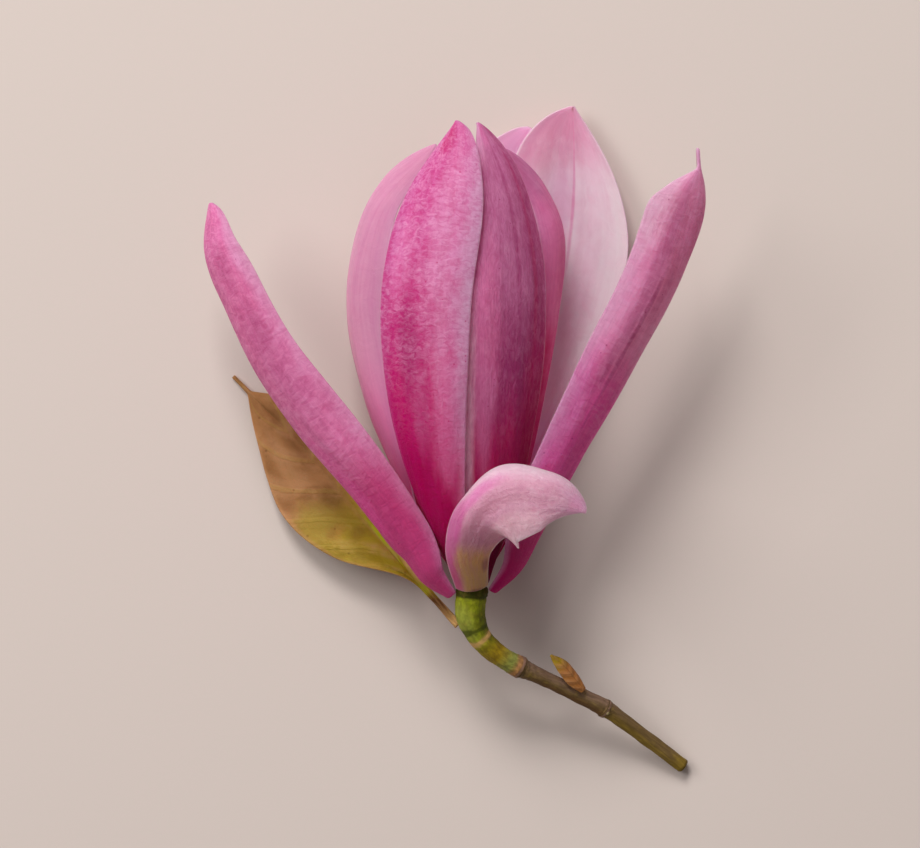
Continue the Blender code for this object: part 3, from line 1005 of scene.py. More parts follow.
@dataclass(frozen=True)
class Blade:
    """A tepal or a leaf: a finely shaped sheet, thick along its middle and thin at its margins.

    Attributes:
        node: The frame's node that it stands for.
        slot: The record's slot; not used.
        shape: Its form.
        outside: The finish of its outer face.
        inside: The finish of its inner face.
        columns: Its faces from side to side.
        rows: Its faces from base to tip.
        thickness: Its thickness along the middle, in millimetres.
        margin_share: The share of the thickness that is left at the margins.
        thins_from: Where across each half it begins to thin.
        smoothing: How often its faces are divided and smoothed.
    """

    node: str
    slot: Slot
    shape: BladeShape
    outside: Skin
    inside: Skin
    columns: int = 32
    rows: int = 104
    thickness: float = 0.8
    margin_share: float = 0.45
    thins_from: float = 0.35
    smoothing: int = 1

    def build(self, effects: Effects) -> None:
        """Shape the sheet, give it its thickness and its two faces.

        Args:
            effects: The shared shader groups.
        """
        name = f"{self.node}_skin"
        sheet, s, t = start_sheet(self.columns, self.rows)
        points, normals = self.shape.surface(s, t)
        bend_sheet(sheet, points + normals * self.shape.relief(s, t)[:, None], lowest=self.thickness / 2.0)
        faces = [finish.material(f"{name}_{side}", effects)
                 for side, finish in (("outside", self.outside), ("inside", self.inside))]
        piece = finish_object(name, sheet, faces)
        share = piece.vertex_groups.new(name="thickness")
        thinning = (1.0 - self.margin_share) * rise(np.abs(s), self.thins_from, 1.0)
        for index, weight in enumerate(1.0 - thinning):
            share.add([index], float(weight), "REPLACE")
        wall = piece.modifiers.new("thickness", "SOLIDIFY")
        wall.thickness = self.thickness * MM
        wall.offset = 0.0
        wall.use_even_offset = False
        wall.vertex_group = share.name
        wall.material_offset = 1
        smooth = piece.modifiers.new("smooth", "SUBSURF")
        smooth.levels = smooth.render_levels = self.smoothing
        hand_over(piece, self.node)


OUTSIDE_LEFT = TepalFinish(
    ground=((0.0, Pigment.RASPBERRY), (0.36, Pigment.RASPBERRY), (0.52, Pigment.ROSE), (1.0, Pigment.ROSE)),
    # The wide pale lilac plus rim is a painted highlight along the upper right margin.
    rim=Pigment.LILAC, rim_minus=0.04, rim_plus=0.2, rim_strength=0.3, edge=Pigment.ROSE, edge_strength=0.3,
    light_strength=0.26, light_from=0.25, dark_strength=0.3,
    flushes=(
        Flush(Pigment.PINK, 0.2, 0.92, 0.9, 0.12, 0.4),
        Flush(Pigment.MAUVE, 0.45, 0.68, 0.4, 0.16, 0.5),
        Flush(Pigment.PLUM, 0.35, 0.86, 0.25, 0.07, 0.4),
        Flush(Pigment.PLUM, 0.5, 0.75, 0.2, 0.06, 0.35),
        # Painted highlight: pale lilac on the upper right margin near the tip.
        Flush(Pigment.LILAC, 0.85, 0.88, 0.3, 0.16, 0.6),
        Flush(Pigment.CERISE, -0.2, 0.42, 0.4, 0.2, 0.5),
    ),
)
OUTSIDE_RIGHT = TepalFinish(
    ground=((0.0, Pigment.CARMINE), (0.28, Pigment.RASPBERRY), (0.36, Pigment.CERISE), (0.5, Pigment.CERISE),
            (0.64, Pigment.ORCHID), (0.92, Pigment.ORCHID), (1.0, Pigment.LILAC)),
    # The wide pale lilac minus rim is a painted highlight where the upper left margin catches the light.
    rim=Pigment.LILAC, rim_minus=0.16, rim_plus=0.03, rim_strength=0.5, edge=Pigment.ROSE, edge_strength=0.2,
    vein_strength=0.14, light_strength=0.25, dark_strength=0.16,
    flushes=(
        Flush(Pigment.MAUVE, -0.45, 0.74, 0.22, 0.3, 0.6),
        Flush(Pigment.PINK, -0.7, 0.45, 0.35, 0.12, 0.6),
        Flush(Pigment.PLUM, -0.28, 0.62, 0.06, 0.22, 0.6),
        Flush(Pigment.PLUM, -0.5, 0.56, 0.25, 0.08, 0.4),
        Flush(Pigment.PLUM, -0.1, 0.76, 0.15, 0.1, 0.3),
        Flush(Pigment.ROSE, 0.3, 0.85, 0.6, 0.08, 0.5),
        # Painted highlight: the bright fold of the upper left margin near the tip.
        Flush(Pigment.PEARL, -0.85, 0.88, 0.4, 0.12, 0.6),
    ),
)
OUTSIDE_FRONT = TepalFinish(
    ground=((0.0, Pigment.TAN), (0.17, Pigment.TAN), (0.27, Pigment.SHADE), (0.42, Pigment.BLUSH),
            (0.8, Pigment.BLUSH), (1.0, Pigment.LILAC)),
    # The pale pearl rim and edge are partly the tepal's paler margin and partly a painted highlight where the
    # rolled rim catches the light.
    rim=Pigment.PEARL, rim_minus=0.06, rim_plus=0.05, rim_strength=0.3, edge=Pigment.PEARL, edge_strength=0.3,
    vein=Pigment.SHADE, vein_strength=0.12, vein_count=24.0, vein_repeats=8.0, band_strength=0.22, waver=0.3,
    light=Pigment.MILK, light_strength=0.25, light_from=0.4, dark=Pigment.MAUVE, dark_strength=0.14,
    crepe_across=16.0, crepe_along=36.0, relief=0.0003, speck_share=0.02,
    flushes=(
        # Painted highlight: the pale outside of the rolled upper left rim.
        Flush(Pigment.PEARL, -0.8, 0.62, 0.5, 0.3, 0.7),
        Flush(Pigment.RASPBERRY, -0.75, 0.08, 0.45, 0.2, 0.9),
        Flush(Pigment.FUCHSIA, -0.85, 0.26, 0.5, 0.18, 0.85),
        Flush(Pigment.FUCHSIA, -0.55, 0.32, 0.35, 0.18, 0.85),
        Flush(Pigment.PINK, -0.45, 0.5, 0.24, 0.16, 0.85),
        Flush(Pigment.SHADE, 0.02, 0.52, 0.2, 0.34, 0.7),
        # Painted light: the salmon glow where light shines through the lower flap.
        Flush(Pigment.SALMON, 0.7, 0.58, 0.5, 0.36, 0.9),
        Flush(Pigment.UMBER, 0.8, 0.12, 0.25, 0.05, 0.7),
        # Painted shadow: the dark strip along the foot where the tepal meets the stalk.
        Flush(Pigment.UMBER, 0.2, 0.0, 0.6, 0.02, 0.8),
        Flush(Pigment.ORCHID, 0.1, 0.95, 0.6, 0.06, 0.5),
    ),
)
OUTSIDE_MIDDLE_LEFT = TepalFinish(
    ground=((0.05, Pigment.WINE), (0.26, Pigment.CRIMSON), (0.42, Pigment.CARMINE), (0.58, Pigment.MAGENTA),
            (0.74, Pigment.FUCHSIA), (1.0, Pigment.FUCHSIA)),
    # The wide pale lilac plus rim is a painted highlight where the right margin catches the light.
    rim=Pigment.LILAC, rim_minus=0.02, rim_plus=0.18, rim_strength=0.4, edge=Pigment.PINK, edge_strength=0.2,
    vein_strength=0.08, light_strength=0.42, light_from=0.3,
    dark=Pigment.CARMINE, dark_strength=0.32, crepe_across=14.0, crepe_along=120.0, relief=0.0002,
    flushes=(
        Flush(Pigment.MAUVE, 0.0, 0.42, 0.3, 0.12, 0.4),
        Flush(Pigment.ROSE, 0.6, 0.42, 0.5, 0.2, 0.8),
        Flush(Pigment.LILAC, 0.5, 0.72, 0.6, 0.3, 0.55),
        Flush(Pigment.PINK, -0.5, 0.7, 0.4, 0.1, 0.5),
        # Painted highlight: the pale right margin where it catches the light.
        Flush(Pigment.LILAC, 0.9, 0.7, 0.3, 0.42, 0.6),
        Flush(Pigment.PLUM, -0.25, 0.53, 0.3, 0.12, 0.5),
        Flush(Pigment.MAGENTA, -0.95, 0.55, 0.16, 0.36, 0.7),
        Flush(Pigment.CARMINE, -0.2, 0.955, 0.5, 0.05, 0.75),
    ),
)
OUTSIDE_MIDDLE_RIGHT = TepalFinish(
    ground=((0.05, Pigment.WINE), (0.32, Pigment.CRIMSON), (0.5, Pigment.PLUM), (0.66, Pigment.MAUVE),
            (0.9, Pigment.MAUVE), (1.0, Pigment.MAUVE)),
    rim=Pigment.LILAC, rim_minus=0.12, rim_plus=0.02, edge_strength=0.1,
    vein_strength=0.22, vein_count=60.0, vein_repeats=36.0,
    light_strength=0.16, dark_strength=0.2,
    crepe_across=30.0, crepe_along=60.0, speck_share=0.08,
    flushes=(
        Flush(Pigment.ROSE, -0.5, 0.55, 0.4, 0.24, 0.7),
        Flush(Pigment.MAUVE, -0.5, 0.4, 0.3, 0.14, 0.5),
        Flush(Pigment.PEARL, -0.85, 0.42, 0.2, 0.3, 0.7),
        Flush(Pigment.CRIMSON, 0.8, 0.42, 0.5, 0.25, 0.8),
        Flush(Pigment.PLUM, 0.75, 0.75, 0.45, 0.34, 0.7),
        Flush(Pigment.CRIMSON, 0.62, 0.66, 0.08, 0.4, 0.5),
        Flush(Pigment.PLUM, 0.2, 0.74, 0.08, 0.3, 0.6),
        Flush(Pigment.LILAC, -0.6, 0.96, 0.5, 0.08, 0.9),
        Flush(Pigment.PINK, 0.0, 0.97, 0.3, 0.05, 0.6),
    ),
)
OUTSIDE_BACK = TepalFinish(
    ground=((0.0, Pigment.MAGENTA), (0.2, Pigment.FUCHSIA), (0.5, Pigment.PINK), (0.8, Pigment.LILAC),
            (1.0, Pigment.BLUSH)),
    rim=Pigment.BLUSH, rim_strength=0.4, vein=Pigment.ROSE, vein_strength=0.12,
    light=Pigment.BLUSH, light_strength=0.15, dark=Pigment.ROSE, dark_strength=0.15,
)
OUTSIDE_INNER_LEFT = TepalFinish(
    ground=((0.0, Pigment.CARMINE), (0.2, Pigment.RASPBERRY), (0.34, Pigment.ROSE), (0.55, Pigment.DUSK),
            (1.0, Pigment.DUSK)),
    rim=Pigment.LILAC, rim_minus=0.08, rim_plus=0.04, rim_strength=0.4, edge_strength=0.4,
    vein=Pigment.MAUVE, vein_strength=0.24, vein_repeats=3.0, band_strength=0.3,
    light=Pigment.BLUSH, light_strength=0.08, dark=Pigment.MAUVE, dark_strength=0.14,
    crepe_across=8.0, crepe_along=30.0, relief=0.00007, speck_share=0.0,
    flushes=(
        Flush(Pigment.BLUSH, 0.0, 0.55, 0.25, 0.25, 0.6),
        Flush(Pigment.LILAC, -0.3, 0.8, 0.4, 0.12, 0.2),
    ),
)
OUTSIDE_INNER_RIGHT = TepalFinish(
    ground=((0.0, Pigment.CRIMSON), (0.34, Pigment.CARMINE), (0.48, Pigment.RASPBERRY), (0.58, Pigment.ROSE),
            (0.8, Pigment.ROSE), (0.9, Pigment.MAUVE)),
    flushes=(
        Flush(Pigment.ORCHID, 0.3, 0.72, 0.5, 0.12, 0.3),
        Flush(Pigment.CRIMSON, 0.9, 0.42, 0.4, 0.16, 0.8),
    ),
    rim=Pigment.LILAC, rim_minus=0.05, rim_plus=0.05, rim_strength=0.5, edge_strength=0.3,
    vein_strength=0.1, vein_repeats=5.0, band_strength=0.2,
    light_strength=0.1, dark_strength=0.1,
    crepe_across=8.0, crepe_along=30.0, relief=0.00007, speck_share=0.0,
)
INSIDE_BACK = InnerFaceFinish(
    # The milk-white middle is partly the tepal's own pale colour and partly painted light, made paler to make
    # up for the cup's shade on it.
    ground=((0.1, Pigment.ROSE), (0.3, Pigment.PINK), (0.34, Pigment.LILAC), (0.44, Pigment.PEARL),
            (0.56, Pigment.MILK), (0.84, Pigment.MILK), (0.92, Pigment.BLUSH), (1.0, Pigment.DUSK)),
    rim=Pigment.PEARL, rim_minus=0.05, rim_plus=0.04, rim_strength=0.5, edge=Pigment.PEARL,
    vein_strength=0.07, vein_repeats=4.0, band_strength=0.2, waver=0.05, light=Pigment.MILK,
    light_strength=0.2, dark=Pigment.BLUSH, dark_strength=0.22, crepe_along=24.0, relief=0.00006,
    flushes=(
        Flush(Pigment.LILAC, 0.15, 0.82, 0.35, 0.1, 0.6),
        # Painted highlight: the paler half beside the midrib's fold, partly the tepal's own pale colour.
        Flush(Pigment.MILK, -0.45, 0.76, 0.5, 0.24, 0.8),
        Flush(Pigment.DUSK, 0.0, 0.95, 0.7, 0.06, 0.7),
        Flush(Pigment.ROSE, -0.05, 0.84, 0.04, 0.18, 0.7),
        Flush(Pigment.UMBER, 0.0, 1.0, 0.25, 0.012, 0.9),
    ),
)
INSIDE_LOWEST = InnerFaceFinish(
    ground=((0.1, Pigment.RASPBERRY), (0.5, Pigment.PINK), (0.8, Pigment.LILAC), (1.0, Pigment.LILAC)),
    rim=Pigment.LILAC, rim_strength=0.3, vein_strength=0.06, vein_repeats=4.0, light=Pigment.PEARL,
    light_strength=0.06, dark=Pigment.LILAC, dark_strength=0.05, crepe_along=24.0, relief=0.00004,
)
INSIDE_CUP = InnerFaceFinish(
    ground=((0.0, Pigment.WINE), (0.25, Pigment.CRIMSON), (0.5, Pigment.ROSE), (0.8, Pigment.BLUSH),
            (1.0, Pigment.LILAC)),
    rim=Pigment.ROSE, rim_strength=0.4, edge=Pigment.ROSE, vein_strength=0.1, dark=Pigment.ROSE,
)
INSIDE_OUTER = InnerFaceFinish(
    ground=((0.0, Pigment.ROSE), (0.3, Pigment.BLUSH), (0.6, Pigment.PEARL), (1.0, Pigment.BLUSH)),
    rim=Pigment.ROSE, edge=Pigment.ROSE, light=Pigment.PEARL, dark=Pigment.LILAC,
)


@dataclass
class Corolla:
    """The nine tepals in three whorls."""

    outer_left: Blade = Blade(
        "tepal_outer_left", Slot.TEPAL_OUTER,
        BladeShape(
            spine=((-4.3, -1.4, 0.8), (-9.3, 2.2, 1.9), (-12.7, 7.4, 3.0), (-17.1, 12.9, 3.6),
                   (-22.3, 19.5, 4.0), (-28.6, 26.7, 4.4), (-35.3, 35.0, 4.6), (-42.3, 45.4, 4.6),
                   (-48.1, 57.4, 4.2), (-52.1, 67.6, 3.2), (-52.1, 77.4, 2.0)),
            facing=(-72, -58, -60, -60, -58, -60),
            widths_minus=(2.8, 5.5, 7.5, 9.0, 8.0, 7.0),
            widths_plus=(2.6, 5.8, 7.6, 8.8, 9.8, 10.7, 10.7, 9.7, 8.6, 8.2, 8.2),
            curl_minus=(38, 35, 50, 60, 60, 50),
            curl_plus=(38, 50, 52, 60, 60, 50),
            shoulder=0.82, point_minus=0.6, point_plus=0.6, seed=1.0,
        ), OUTSIDE_LEFT, INSIDE_OUTER)
    outer_right: Blade = Blade(
        "tepal_outer_right", Slot.TEPAL_OUTER,
        BladeShape(
            spine=((4.3, -0.5, 0.8), (9.3, 4.4, 1.9), (12.5, 11.0, 3.0), (16.6, 19.6, 4.0), (21.3, 28.6, 5.0),
                   (26.2, 37.1, 5.8), (31.2, 45.9, 6.5), (36.6, 55.6, 7.4), (41.3, 66.0, 8.0),
                   (44.9, 76.9, 7.7), (44.7, 88.0, 7.0)),
            facing=(74, 62, 60, 58, 58, 60),
            widths_minus=(2.4, 7.2, 9.0, 10.6, 11.6, 14.0),
            widths_plus=(2.8, 5.6, 8.0, 9.0, 9.0, 9.0),
            curl_minus=(38, 56, 52, 60, 60, 50),
            curl_plus=(38, 35, 50, 60, 60, 50),
            shoulder=0.85, point_minus=0.6, point_plus=0.6, drawn_at=0.957, tip_width=0.35, seed=2.0,
        ), OUTSIDE_RIGHT, INSIDE_OUTER)
    outer_front: Blade = Blade(
        "tepal_outer_front", Slot.TEPAL_PALE,
        BladeShape(
            spine=((0.1, 0.0, 4.4), (-0.8, 8.0, 13.2), (0.6, 15.0, 18.8), (6.2, 18.9, 21.2),
                   (14.6, 18.8, 21.2), (22.2, 15.9, 18.6)),
            facing=(0, 0, 0, 0, 0, 0),
            widths_minus=(3.4, 5.4, 5.4, 8.2, 6.3, 4.4),
            widths_plus=(3.4, 4.0, 4.9, 7.6, 9.9, 10.5, 9.5, 8.6, 6.6, 4.1, 1.6),
            curl_minus=(38, 60, 75, 75, 60, 30),
            curl_plus=(38, 20, 10, 10, 10, 10),
            shoulder=0.78, point_minus=0.5, point_plus=1.0, ripple=0.3, seed=3.0,
        ), OUTSIDE_FRONT, INSIDE_OUTER)
    middle_left: Blade = Blade(
        "tepal_middle_left", Slot.TEPAL_DEEP,
        BladeShape(
            spine=((-2.6, 1.2, 2.0), (-6.6, 13.0, 8.4), (-9.4, 28.0, 14.0), (-10.4, 45.0, 17.5),
                   (-9.8, 62.0, 18.2), (-7.4, 79.0, 14.5), (-3.0, 93.4, 7.0)),
            facing=(-52, -40, -28, -22, -20, -20, -20),
            widths_minus=(2.0, 4.4, 7.2, 9.2, 9.8, 9.4, 7.0),
            widths_plus=(2.5, 5.8, 8.4, 9.8, 10.4, 12.0, 11.0),
            curl_minus=(44, 35, 32, 30, 30, 30, 25),
            curl_plus=(44, 35, 32, 30, 30, 30, 25),
            shoulder=0.62, point_minus=0.95, point_plus=0.5, seed=4.0,
        ), OUTSIDE_MIDDLE_LEFT, INSIDE_CUP)
    middle_right: Blade = Blade(
        "tepal_middle_right", Slot.TEPAL_DEEP,
        BladeShape(
            spine=((2.6, 1.2, 2.0), (4.8, 13.0, 7.2), (6.0, 28.0, 11.6), (7.0, 45.0, 14.6),
                   (7.4, 62.0, 15.2), (5.4, 79.0, 11.6), (1.0, 93.2, 4.4)),
            facing=(52, 36, 30, 28, 28, 26, 20),
            widths_minus=(2.5, 6.0, 8.6, 9.8, 9.8, 8.4, 6.0),
            widths_plus=(1.8, 5.2, 8.2, 9.6, 10.0, 9.9, 11.4),
            curl_minus=(44, 35, 32, 30, 30, 30, 25),
            curl_plus=(44, 35, 32, 30, 30, 30, 25),
            shoulder=0.62, point_minus=0.95, point_plus=0.7, seed=5.0,
        ), OUTSIDE_MIDDLE_RIGHT, INSIDE_CUP)
    middle_back: Blade = Blade(
        "tepal_middle_back", Slot.TEPAL_PALE,
        BladeShape(
            spine=((0.0, 1.2, -3.3), (-1.6, 14.0, -12.4), (-3.4, 30.0, -17.2), (-3.2, 46.0, -19.2),
                   (-0.4, 62.0, -19.8), (4.2, 78.0, -19.6), (12.0, 94.0, -18.2)),
            facing=(180, 182, 182, 180, 178, 178, 178),
            widths_minus=(1.8, 3.4, 6.8, 9.2, 9.8, 9.2, 8.4),
            widths_plus=(2.5, 5.2, 9.6, 12.6, 13.4, 11.8, 7.2),
            curl_minus=(30, 14, 8, 8, 8, 8, 10),
            curl_plus=(44, 35, 30, 30, 30, 28, 25),
            shoulder=0.78, point_minus=0.5, point_plus=0.5, seed=6.0,
        ), OUTSIDE_BACK, INSIDE_LOWEST)
    inner_left: Blade = Blade(
        "tepal_inner_left", Slot.TEPAL_INNER,
        BladeShape(
            spine=((-2.2, 2.6, -0.4), (-10.0, 12.6, -1.2), (-16.0, 25.0, -2.5), (-21.2, 38.0, -3.5),
                   (-24.4, 53.0, -4.0), (-23.8, 67.0, -3.5), (-18.6, 79.6, -1.5), (-7.0, 89.0, 1.0)),
            facing=(-108, -97, -88, -82, -80, -80, -75, -60),
            widths_minus=(1.3, 4.6, 7.4, 9.6, 11.0, 10.4, 8.0, 5.0),
            widths_plus=(0.6, 2.2, 7.2, 10.6, 12.0, 11.8, 9.0, 5.0),
            curl_minus=(34, 40, 44, 50, 55, 50, 40, 20),
            curl_plus=(34, 40, 50, 58, 62, 60, 50, 20),
            shoulder=0.7, point_minus=0.6, point_plus=0.6, seed=7.0,
        ), OUTSIDE_INNER_LEFT, INSIDE_CUP)
    inner_right: Blade = Blade(
        "tepal_inner_right", Slot.TEPAL_INNER,
        BladeShape(
            spine=((2.2, 2.6, -0.4), (7.8, 12.6, -1.2), (11.4, 26.0, -2.6), (14.6, 41.0, -3.8),
                   (17.2, 56.0, -4.2), (18.3, 70.5, -4.0), (14.5, 80.4, -2.6), (6.4, 88.2, -0.4)),
            facing=(108, 100, 95, 95, 95, 92, 85, 60),
            widths_minus=(0.6, 1.6, 6.2, 9.4, 11.4, 11.4, 9.0, 5.0),
            widths_plus=(1.2, 3.1, 4.8, 6.0, 6.6, 6.4, 5.4, 4.0),
            curl_minus=(34, 38, 50, 60, 64, 62, 50, 20),
            curl_plus=(32, 34, 34, 36, 38, 36, 30, 20),
            shoulder=0.7, point_minus=0.6, point_plus=0.6, seed=8.0,
        ), OUTSIDE_INNER_RIGHT, INSIDE_CUP)
    inner_back: Blade = Blade(
        "tepal_inner_back", Slot.TEPAL_PALE,
        BladeShape(
            spine=((0.0, 2.6, -2.2), (3.6, 14.0, -9.4), (8.8, 30.0, -13.6), (14.0, 46.0, -15.8),
                   (18.0, 62.0, -17.0), (20.2, 79.0, -17.2), (20.7, 98.1, -15.4)),
            facing=(180, 174, 170, 172, 176, 178, 180),
            widths_minus=(1.4, 5.0, 9.0, 11.6, 13.6, 13.6, 13.0),
            widths_plus=(1.0, 4.2, 8.0, 10.6, 12.6, 15.8, 22.0),
            curl_minus=(26, 34, 34, 34, 34, 34, 25),
            curl_plus=(26, 34, 34, 34, 34, 34, 25),
            shoulder=0.72, point_minus=1.0, point_plus=0.65, seed=9.0,
        ), OUTSIDE_BACK, INSIDE_BACK)

    def build(self, effects: Effects) -> None:
        """Build every tepal, whorl by whorl."""
        for tepal in fields(self):
            getattr(self, tepal.name).build(effects)


LEAF_SKIN = LeafFinish(
    ground=((0.0, Pigment.TAN), (0.1, Pigment.UMBER), (0.13, Pigment.OLIVE), (0.42, Pigment.OLIVE),
            (0.58, Pigment.BRONZE), (1.0, Pigment.BRONZE)),
    vein=Pigment.STRAW, midrib=Pigment.BRONZE, rim=Pigment.COPPER,
    flushes=(
        Flush(Pigment.STRAW, -0.7, 0.5, 0.5, 0.1, 0.8),
        Flush(Pigment.STRAW, -0.75, 0.38, 0.4, 0.08, 0.5),
        Flush(Pigment.COPPER, -0.5, 0.74, 0.25, 0.1, 0.6),
        Flush(Pigment.COPPER, -0.4, 0.64, 0.25, 0.04, 0.5),
        Flush(Pigment.UMBER, 0.05, 0.76, 0.35, 0.16, 0.5),
        Flush(Pigment.UMBER, -0.85, 0.66, 0.25, 0.14, 0.4),
        Flush(Pigment.UMBER, -0.15, 0.54, 0.25, 0.05, 0.35),
        Flush(Pigment.RUST, -0.55, 0.45, 0.25, 0.03, 0.4),
        Flush(Pigment.UMBER, -0.3, 0.4, 0.25, 0.03, 0.3),
        Flush(Pigment.LIME, 0.06, 0.3, 0.09, 0.17, 1.0),
        Flush(Pigment.TAN, 0.45, 0.22, 0.3, 0.12, 0.8),
        Flush(Pigment.LIME, 0.0, 0.15, 1.5, 0.03, 0.6),
    ),
)
SIDE_LEAF_SKIN = LeafFinish(
    ground=((0.0, Pigment.RUST), (0.55, Pigment.RUST), (0.85, Pigment.OLIVE), (1.0, Pigment.OLIVE)),
    vein=Pigment.BRONZE, midrib=Pigment.UMBER, rim=Pigment.TAN, side_veins=5.0,
)


@dataclass
class Foliage:
    """The large leaf under the flower and the small one on the twig."""

    leaf: Blade = Blade(
        "leaf", Slot.LEAF,
        BladeShape(
            spine=((-2.7, -7.3, -3.7), (-12.0, 2.3, -8.0), (-21.0, 12.6, -12.4), (-29.8, 22.6, -15.6),
                   (-38.9, 32.8, -17.6), (-48.9, 43.0, -19.6)),
            facing=(0, -5, -10, -10, -5, 0),
            widths_minus=(0.8, 1.0, 9.8, 12.0, 7.4, 6.4),
            widths_plus=(0.8, 1.9, 8.5, 9.5, 8.0, 6.0),
            curl_minus=(10, 10, -8, -8, -8, 0),
            curl_plus=(10, 10, -25, -25, -20, 0),
            shoulder=0.72, point_minus=1.0, point_plus=1.0, drawn_at=0.94, tip_width=0.4, ripple=0.5,
            ribs=0.0, rib_height=0.0, groove=0.35, buckle=0.5, seed=11.0,
        ), LEAF_SKIN, LEAF_SKIN)
    side_leaf: Blade = Blade(
        "side_leaf", Slot.SIDE_LEAF,
        BladeShape(
            spine=((22.6, -20.6, -7.0), (20.6, -18.2, -6.0), (18.4, -15.6, -5.6), (15.8, -13.4, -6.0)),
            facing=(40, 40, 40, 40),
            widths_minus=(0.7, 1.7, 1.6, 1.2),
            widths_plus=(0.7, 1.9, 1.8, 1.2),
            curl_minus=(30, 50, 40, 20),
            curl_plus=(30, 50, 40, 20),
            shoulder=0.6,
            ribs=0.0, rib_height=0.0, groove=0.1, buckle=0.1, seed=12.0,
        ), SIDE_LEAF_SKIN, SIDE_LEAF_SKIN, columns=12, rows=36)

    def build(self, effects: Effects) -> None:
        """Build both leaves."""
        self.leaf.build(effects)
        self.side_leaf.build(effects)


@dataclass(frozen=True)
class Tube:
    """A closed tube along a smooth line.

    Attributes:
        line: Rows of x, y, z and radius, in millimetres from the flower's base.
        sides: How many faces stand round it.
        rows: How many faces lie along it.
        hinge: The direction that the line's bends turn round; none for a line that bends near the level.
        flatness: Its thickness across the hinge, as a share of its width.
        relief: Height of the fine relief on its skin, in millimetres.
        relief_round: How close the relief lies round the tube.
        relief_along: How close it lies along the tube.
    """

    line: tuple
    sides: int
    rows: int
    hinge: Optional[tuple] = None
    flatness: float = 1.0
    relief: float = 0.0
    relief_round: float = 1.6
    relief_along: float = 60.0

    def shape(self) -> bmesh.types.BMesh:
        """Wrap a sheet round the line, close its seam and its ends.

        Returns:
            The closed shape, in metres.
        """
        tube, around, t = start_sheet(self.sides, self.rows)
        angle = pi * around
        places = along(self.line, t)
        ahead = ahead_of(self.line, t, LINE_STEP)
        if self.hinge is None:
            side = unit(np.cross(ahead, (0.0, 0.0, 1.0)))
        else:
            side = np.tile(self.hinge, (len(t), 1))
        up = np.cross(side, ahead)
        lumps = bumps(self.relief_round * np.cos(angle), self.relief_round * np.sin(angle),
                      self.relief_along * t)
        radius = places[:, 3] + self.relief * lumps
        ring = side * np.cos(angle)[:, None] + up * (np.sin(angle) * self.flatness)[:, None]
        bend_sheet(tube, places[:, :3] + ring * radius[:, None], lowest=0.0)
        bmesh.ops.remove_doubles(tube, verts=tube.verts, dist=WELD)
        bmesh.ops.holes_fill(tube, edges=tube.edges, sides=0)
        bmesh.ops.recalc_face_normals(tube, faces=tube.faces)
        return tube


def fuse(first: bpy.types.Object, others: Sequence[bpy.types.Object]) -> bpy.types.Object:
    """Join closed bodies into the first one by a Boolean union.

    Args:
        first: The body that the others are joined into.
        others: The bodies that are joined in and then removed.

    Returns:
        The first object, with its new mesh.
    """
    group = bpy.data.collections.new("joined")
    bpy.context.scene.collection.children.link(group)
    for other in others:
        bpy.context.scene.collection.objects.unlink(other)
        group.objects.link(other)
    union = first.modifiers.new("union", "BOOLEAN")
    union.operation = "UNION"
    union.operand_type = "COLLECTION"
    union.collection = group
    union.solver = "EXACT"
    evaluated = first.evaluated_get(bpy.context.evaluated_depsgraph_get())
    joined = bpy.data.meshes.new_from_object(evaluated)
    first.modifiers.remove(union)
    first.data = joined
    for other in others:
        bpy.data.objects.remove(other)
    bpy.data.collections.remove(group)
    return first


